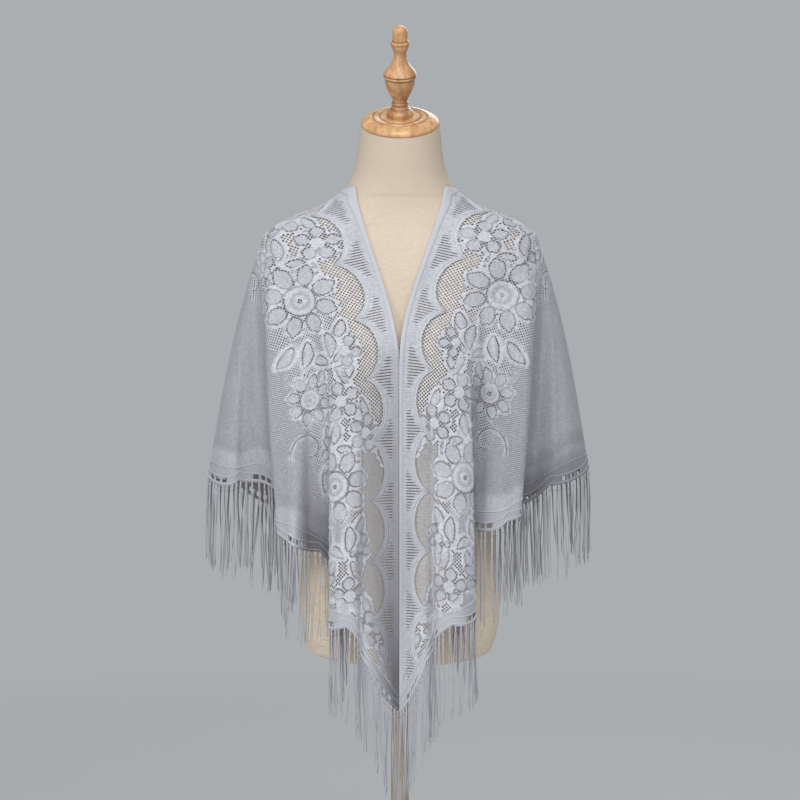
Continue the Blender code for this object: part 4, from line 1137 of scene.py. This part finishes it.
# ---------------------------------------------------------------- materials
class Nodes:
    """Builds a material's nodes; a value given for an input is a number, a colour or a socket."""

    def __init__(self, name):
        self.material = bpy.data.materials.new(name)
        self.material.use_nodes = True
        self.tree = self.material.node_tree
        self.shader = self.tree.nodes["Principled BSDF"]

    def put(self, target, value):
        if isinstance(value, bpy.types.NodeSocket):
            self.tree.links.new(value, target)
        else:
            target.default_value = value

    def add(self, kind, inputs=(), out=0, **settings):
        made = self.tree.nodes.new("ShaderNode" + kind)
        for key, value in settings.items():
            setattr(made, key, value)
        for key, value in dict(inputs).items():
            self.put(made.inputs[key], value)
        return made.outputs[out]

    def math(self, operation, *values):
        return self.add("Math", dict(enumerate(values)), operation=operation)

    def times(self, first, second):
        return self.math("MULTIPLY", first, second)

    def plus(self, first, second):
        return self.math("ADD", first, second)

    def minus(self, first, second):
        return self.math("SUBTRACT", first, second)

    def below(self, first, second):
        return self.math("LESS_THAN", first, second)

    def attribute(self, name):
        return self.add("Attribute", out="Fac", attribute_name=name)

    def place(self, scale=None):
        """The place in space, stretched if scale says so."""
        place = self.add("TexCoord", out="Object")
        return self.add("Mapping", {"Vector": place, "Scale": scale}, "Vector") if scale else place

    def split(self, vector):
        """The parts X, Y and Z of a vector."""
        return self.add("SeparateXYZ", {0: vector}).node.outputs

    def noise(self, vector, scale, detail=2.0, distortion=0.0):
        inputs = {"Vector": vector, "Scale": scale, "Detail": detail, "Distortion": distortion}
        return self.add("TexNoise", inputs, "Fac")

    def remap(self, value, low, high, to_low=0.0, to_high=1.0):
        return self.add("MapRange", dict(enumerate((value, low, high, to_low, to_high))), clamp=True)

    def mix(self, factor, first, second):
        return self.add("Mix", {0: factor, 6: first, 7: second}, 2, data_type="RGBA")

    def layered(self, colour, *layers):
        """A colour with others laid over it; each layer is how much of it, and its colour."""
        for share, other in layers:
            colour = self.mix(share, colour, other)
        return colour

    def finish(self, colour, roughness, height=None, distance=0.0005, strength=0.6, **sockets):
        if height is not None:
            inputs = {"Height": height, "Distance": distance, "Strength": strength}
            sockets["Normal"] = self.add("Bump", inputs)
        for key, value in {"Base_Color": colour, "Roughness": roughness, **sockets}.items():
            self.put(self.shader.inputs[key.replace("_", " ")], value)
        return self.material


YARN_WHITE = (0.800, 0.805, 0.820, 1)
YARN_LIGHT = (0.700, 0.707, 0.746, 1)
YARN_MIDDLE = (0.530, 0.536, 0.585, 1)
# the darkest yarn tone, which also colours the painted shade
YARN_DARK_AND_SHADE = (0.110, 0.111, 0.124, 1)
YARN_DEEP = (0.320, 0.324, 0.360, 1)


def lattice_material():
    """The lace: knitted cells, opened in four ways where the values on its mesh ask for it."""
    n = Nodes("lace_openwork")
    flat = n.split(n.add("UVMap", out="UV", uv_map="flat"))
    scale = UV_SPAN / CELL / math.sqrt(2)
    x, y = n.times(flat["X"], scale), n.times(n.minus(flat["Y"], 1.0), scale)
    p, q = n.plus(x, y), n.minus(x, y)

    def from_middle(value, pitch, middle):
        """Distance from the middle of the nearest gap of a row of gaps."""
        place = n.math("FRACT", n.math("MULTIPLY_ADD", value, 1 / pitch, 0.5 - middle / pitch))
        return n.times(n.minus(place, 0.5), pitch)

    def ellipse(first, width, second, height):
        """Less than 1 inside an ellipse."""
        first, second = n.math("DIVIDE", first, width), n.math("DIVIDE", second, height)
        return n.plus(n.times(first, first), n.times(second, second))

    wide_p, wide_q = from_middle(p, 1.0, 0.5), from_middle(q, 1.0, 0.5)
    weight, field = n.attribute("weight"), n.attribute("field")
    stitch = ellipse(from_middle(p, 0.5, 0.25), 0.5, from_middle(q, 0.5, 0.25), 0.5)
    small = n.below(n.times(stitch, math.pi), n.attribute("fine"))
    round_gap = n.below(ellipse(wide_p, 0.31, wide_q, 0.31), n.attribute("ground"))
    # the field's rows of gaps run a little across the lattice
    slant = n.math("MULTIPLY_ADD", p, 0.12, q)
    rows = from_middle(slant, 0.80, 0.4)
    in_row = from_middle(n.math("MULTIPLY_ADD", slant, 0.3, p), 0.80, 0.4)
    row_gap = n.below(ellipse(rows, 0.17, in_row, 0.26), field)
    stripe = n.math("ABSOLUTE", from_middle(n.times(flat["X"], UV_SPAN), SLIT_PITCH, 0.0))
    slit = n.below(stripe, n.times(n.attribute("slit"), SLIT_WIDTH / 2))
    opened = n.math("MAXIMUM", n.math("MAXIMUM", small, round_gap), n.math("MAXIMUM", row_gap, slit))
    broad, fine = n.noise(n.place(), 22.0), n.noise(n.place(), 270.0, 3.0)
    # dots follow the outlines of the motifs' cells, with breaks in them
    from_edge = n.math("ABSOLUTE", n.attribute("edge"))
    near_edge = n.times(n.below(from_edge, 0.0013), n.math("GREATER_THAN", broad, 0.44))
    dots = n.times(n.below(ellipse(wide_p, 0.36, wide_q, 0.36), 1.0), near_edge)
    row_line = n.remap(n.math("ABSOLUTE", rows), 0.08, 0.32, 1.0, 0.0)
    row_line = n.times(row_line, n.remap(fine, 0.35, 0.65, 0.2, 0.8))
    body = n.layered(
        YARN_DARK_AND_SHADE,
        (n.remap(weight, 0.0, 0.5), YARN_MIDDLE),
        (n.remap(weight, 0.5, 1.0), YARN_LIGHT),
        (n.remap(weight, 1.1, 1.4), YARN_WHITE),
        (n.remap(broad, 0.35, 0.70, 0.0, 0.20), YARN_DEEP),
        (n.remap(fine, 0.38, 0.66, 0.0, 0.50), YARN_DEEP),
        (n.remap(stripe, 0.0, SLIT_PITCH / 2, 0.25, 0.0), YARN_DEEP),
        (n.times(row_line, field), YARN_DEEP),
        # painted shade along the outlines of the motifs' cells, as in stitched grooves
        (n.remap(from_edge, 0.0003, 0.0012, 0.50, 0.0), YARN_DARK_AND_SHADE),
        # painted shade of the cloth's hollows, from the shade values on the mesh
        (n.attribute("shade"), YARN_DARK_AND_SHADE),
    )
    ridge = n.plus(stitch, n.times(field, ellipse(wide_p, 0.7, rows, 0.5)))
    height = n.plus(n.times(ridge, -0.8), n.times(fine, 0.6))
    alpha = n.minus(1.0, n.math("MAXIMUM", opened, dots))
    return n.finish(body, 0.78, height, 0.0006, 0.6, Sheen_Weight=0.25, Alpha=alpha)


def yarn_material(name, light, deep, rib=None, along="X", strength=0.6):
    """Plain knitted or twisted yarn; rib is the spacing of its ridges on the flat cut."""
    n = Nodes(name)
    broad, fine = n.noise(n.place(), 30.0), n.noise(n.place(), 1100.0, 3.0)
    layers = [(n.remap(broad, 0.35, 0.70, 0.0, 0.35), deep), (n.remap(fine, 0.40, 0.75, 0.0, 0.25), deep)]
    height = fine
    if rib:
        flat = n.split(n.add("UVMap", out="UV", uv_map="flat"))
        ridge = n.remap(n.math("SINE", n.times(flat[along], 2 * math.pi * UV_SPAN / rib)), -1.0, 1.0)
        layers.append((n.remap(ridge, 0.0, 0.5, 0.45, 0.0), deep))
        height = n.plus(ridge, n.times(fine, 0.4))
    # the shade values on the mesh lay painted shade over the yarn
    colour = n.layered(light, *layers, (n.attribute("shade"), YARN_DARK_AND_SHADE))
    return n.finish(colour, 0.75, height, 0.0005, strength, Sheen_Weight=0.25)


def linen_material():
    n = Nodes("linen_cover")
    threads = n.split(n.add("UVMap", out="UV", uv_map="cloth"))
    warp, weft = (n.math("SINE", n.times(threads[k], 2 * math.pi / 0.0011)) for k in "XY")
    weave = n.times(warp, weft)
    broad, slub = n.noise(n.place(), 14.0), n.noise(n.place((0.35, 0.35, 1.6)), 330.0, 3.0)
    up = n.split(n.place())["Z"]
    colour = n.layered(
        (0.650, 0.548, 0.448, 1),
        (n.remap(broad, 0.35, 0.7, 0.0, 0.35), (0.604, 0.500, 0.396, 1)),
        # painted light: lighter towards the bottom of the torso, which the cloth above shades
        (n.remap(up, 0.88, 0.68, 0.0, 0.8), (0.860, 0.740, 0.590, 1)),
        # painted shade: darker towards the top of the neck, under the cap
        (n.remap(up, 1.18, 1.26, 0.0, 0.5), (0.470, 0.385, 0.300, 1)),
        (n.remap(slub, 0.42, 0.72, 0.0, 0.50), (0.520, 0.420, 0.310, 1)),
        (n.remap(weave, -1.0, 1.0, 0.12, 0.0), (0.500, 0.400, 0.280, 1)),
    )
    height = n.plus(n.times(weave, 0.5), slub)
    return n.finish(colour, 0.88, height, 0.0004, 0.35, Sheen_Weight=0.12)


def wood_material(name, light, dark, grain_scale=(60.0, 60.0, 5.0)):
    n = Nodes(name)
    grain = n.noise(n.place(grain_scale), 1.4, 5.0, 0.6)
    fleck = n.noise(n.place(tuple(13 * k for k in grain_scale)), 1.0)
    colour = n.layered(
        light,
        (n.remap(grain, 0.30, 0.66), dark),
        (n.remap(fleck, 0.52, 0.70, 0.0, 0.5), (0.300, 0.140, 0.060, 1)),
        # painted shade in the turned grooves
        (n.remap(n.attribute("groove"), 0.0, 1.0, 0.0, 0.85), (0.120, 0.048, 0.020, 1)),
    )
    height = n.plus(grain, n.times(fleck, 0.5))
    return n.finish(colour, 0.45, height, 0.0003, 0.15, Coat_Weight=0.25, Coat_Roughness=0.20)


# ---------------------------------------------------------------- the studio
BACKGROUND = (0.405, 0.423, 0.440, 1)


def build_studio():
    world = bpy.data.worlds.new("studio")
    bpy.context.scene.world = world
    world.use_nodes = True
    world.node_tree.nodes["Background"].inputs["Color"].default_value = BACKGROUND
    world.node_tree.nodes["Background"].inputs["Strength"].default_value = 1.0

    n = Nodes("studio_floor")
    place = n.split(n.place())
    x, y = place["X"], place["Y"]
    reach = n.math("SQRT", n.plus(n.times(x, x), n.times(y, y)))
    speckle = n.noise(n.place(), 240.0)
    near = n.mix(n.remap(speckle, 0.3, 0.7, 0.0, 0.2), (0.50, 0.51, 0.52, 1), (0.46, 0.47, 0.48, 1))
    n.finish(near, 0.9)
    # far from the stand the floor takes on the background's colour
    glow = n.add("Emission", {"Color": BACKGROUND})
    blend = n.add("MixShader", {0: n.remap(reach, 0.8, 3.2), 1: n.shader.outputs[0], 2: glow})
    n.put(n.tree.nodes["Material Output"].inputs["Surface"], blend)
    rings = np.linspace(0, 1, 49)[1:, None] ** 2 * 40
    turn = np.linspace(0, 2 * math.pi, 96, endpoint=False)
    points = np.stack([rings * np.cos(turn), rings * np.sin(turn), 0 * rings * turn - 0.0005], -1)
    quads, centre, _ = ring_faces(48, 96)
    mesh = mesh_from("floor", points.reshape(-1, 3), [quads[:, ::-1], centre[None]])
    floor = linked("floor", mesh, n.material)

    scene = bpy.context.scene

    def aimed(name, data, place, aim):
        thing = bpy.data.objects.new(name, data)
        scene.collection.objects.link(thing)
        thing.location = place
        thing.rotation_euler = (Vector(aim) - thing.location).to_track_quat("-Z", "Y").to_euler()
        return thing

    for name, place, aim_height, size, power, colour in (
        ("key", (-0.2, -2.3, 3.1), 1.0, 1.8, 65, (1.0, 0.99, 0.98)),
        ("fill", (-2.3, -2.6, 0.9), 0.8, 1.6, 20, (1, 1, 1)),
        ("low", (0.3, -2.3, 0.5), 0.62, 0.8, 7, (1, 1, 1)),
        ("back", (0.6, 2.6, 2.4), 1.0, 1.6, 26, (1, 1, 1)),
    ):
        data = bpy.data.lights.new(name, "AREA")
        data.shape, data.size, data.energy, data.color = "DISK", size, power, colour
        aimed(name, data, place, (0, 0, aim_height))

    scene.view_settings.view_transform = "Standard"
    data = bpy.data.cameras.new("camera")
    data.lens, data.sensor_width, data.clip_end = 106, 36, 200
    scene.camera = aimed("camera", data, (0, -3.192, 1.175), (0, 0, 0.952))


# ---------------------------------------------------------------- the whole
def flat_size(drape, low, high):
    """The box and the area of a stretch of the flat cut."""
    columns, rows = 60, 40
    places = np.meshgrid(np.linspace(low, high, columns), np.linspace(0, 1, rows), indexing="ij")
    flat = drape.flat_at(*places).reshape(-1, 2)
    a, b, c = (flat[corner] for corner in grid_faces(columns, rows).T)
    u, v = b - a, c - a
    area = np.abs(u[:, 0] * v[:, 1] - u[:, 1] * v[:, 0]).sum() / 2
    width, length = np.ptp(flat, axis=0)
    return (round(float(width), 3), round(float(length), 3)), round(float(area), 4)


def main():
    build_studio()
    linen = linen_material()
    beech = (0.800, 0.500, 0.240, 1), (0.500, 0.245, 0.098, 1)
    wood = wood_material("turned_beech", *beech)
    foot_wood = wood_material("foot_beech", *beech, (5.0, 60.0, 60.0))
    # a darker copy of the beech for the finial: a deeper grain, and painted shade that tones down the light
    # it catches
    shaded_deep_wood = wood_material("shaded_deep_beech", (0.700, 0.410, 0.195, 1), (0.360, 0.160, 0.062, 1))
    # a greyer, darker beech for the pole
    grey_wood = wood_material("grey_beech", (0.500, 0.442, 0.375, 1), (0.360, 0.308, 0.254, 1))
    openwork = lattice_material()
    band_yarn = yarn_material("lace_band", (0.520, 0.525, 0.567, 1), (0.430, 0.434, 0.474, 1), 0.0026)
    hem_yarn = yarn_material("lace_border", (0.470, 0.474, 0.515, 1), YARN_DEEP, 0.0036, "Y", 0.5)
    cord_yarn = yarn_material("lace_cord", (0.560, 0.565, 0.608, 1), (0.450, 0.455, 0.494, 1))
    fringe_yarn = yarn_material("fringe_yarn", (0.430, 0.436, 0.464, 1), YARN_DEEP)

    torso = build_torso(linen)
    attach(torso, "root")
    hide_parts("torso")
    for node, piece in build_wood(wood, shaded_deep_wood, grey_wood, foot_wood).items():
        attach(piece, "root")
        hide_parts(node)

    right, left = Drape("right", -1, RIGHT_STRETCHES), Drape("left", 1, LEFT_STRETCHES)
    generator = np.random.default_rng(7)
    for drape, other in ((right, left), (left, right)):
        lattice = Lattice(drape, other)
        columns, _ = hem_column_shares(drape)
        for stretch in drape.stretches:
            word = f"{stretch.name}_{drape.word}"
            low, high = columns[stretch.first], columns[stretch.last]
            to_back = high > 0.9999
            # where the stretch starts and ends along the long edge; the front one starts at the tip
            last_x = drape.flat_at(np.array([low]), np.array([0.0]))[0, 0] if stretch.first else BAND_END
            first_x = 0.0 if to_back else drape.flat_at(np.array([high]), np.array([0.0]))[0, 0]
            bounds = low if stretch.first else -1, 1.01 if to_back else high
            lace = lattice.piece(f"lace_{word}", *bounds, openwork)
            parts = [
                edge_band(f"band_{word}", drape, first_x, last_x, band_yarn),
                hem_strip(f"border_{word}", drape, stretch.first, stretch.last, hem_yarn),
                arc_cords(f"arc_cords_{word}", drape, first_x, last_x, cord_yarn),
                hem_cords(f"hem_cords_{word}", drape, stretch.first, stretch.last, cord_yarn),
            ]
            parts = [part for part in parts if part]
            tassels = fringe(f"tassels_{word}", drape, low, high, fringe_yarn, generator)
            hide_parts(f"cloth_{word}")
            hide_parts(f"fringe_{word}")
            for piece in (lace, *parts, tassels):
                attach(piece, "root")
            size, area = flat_size(drape, low, high)


main()
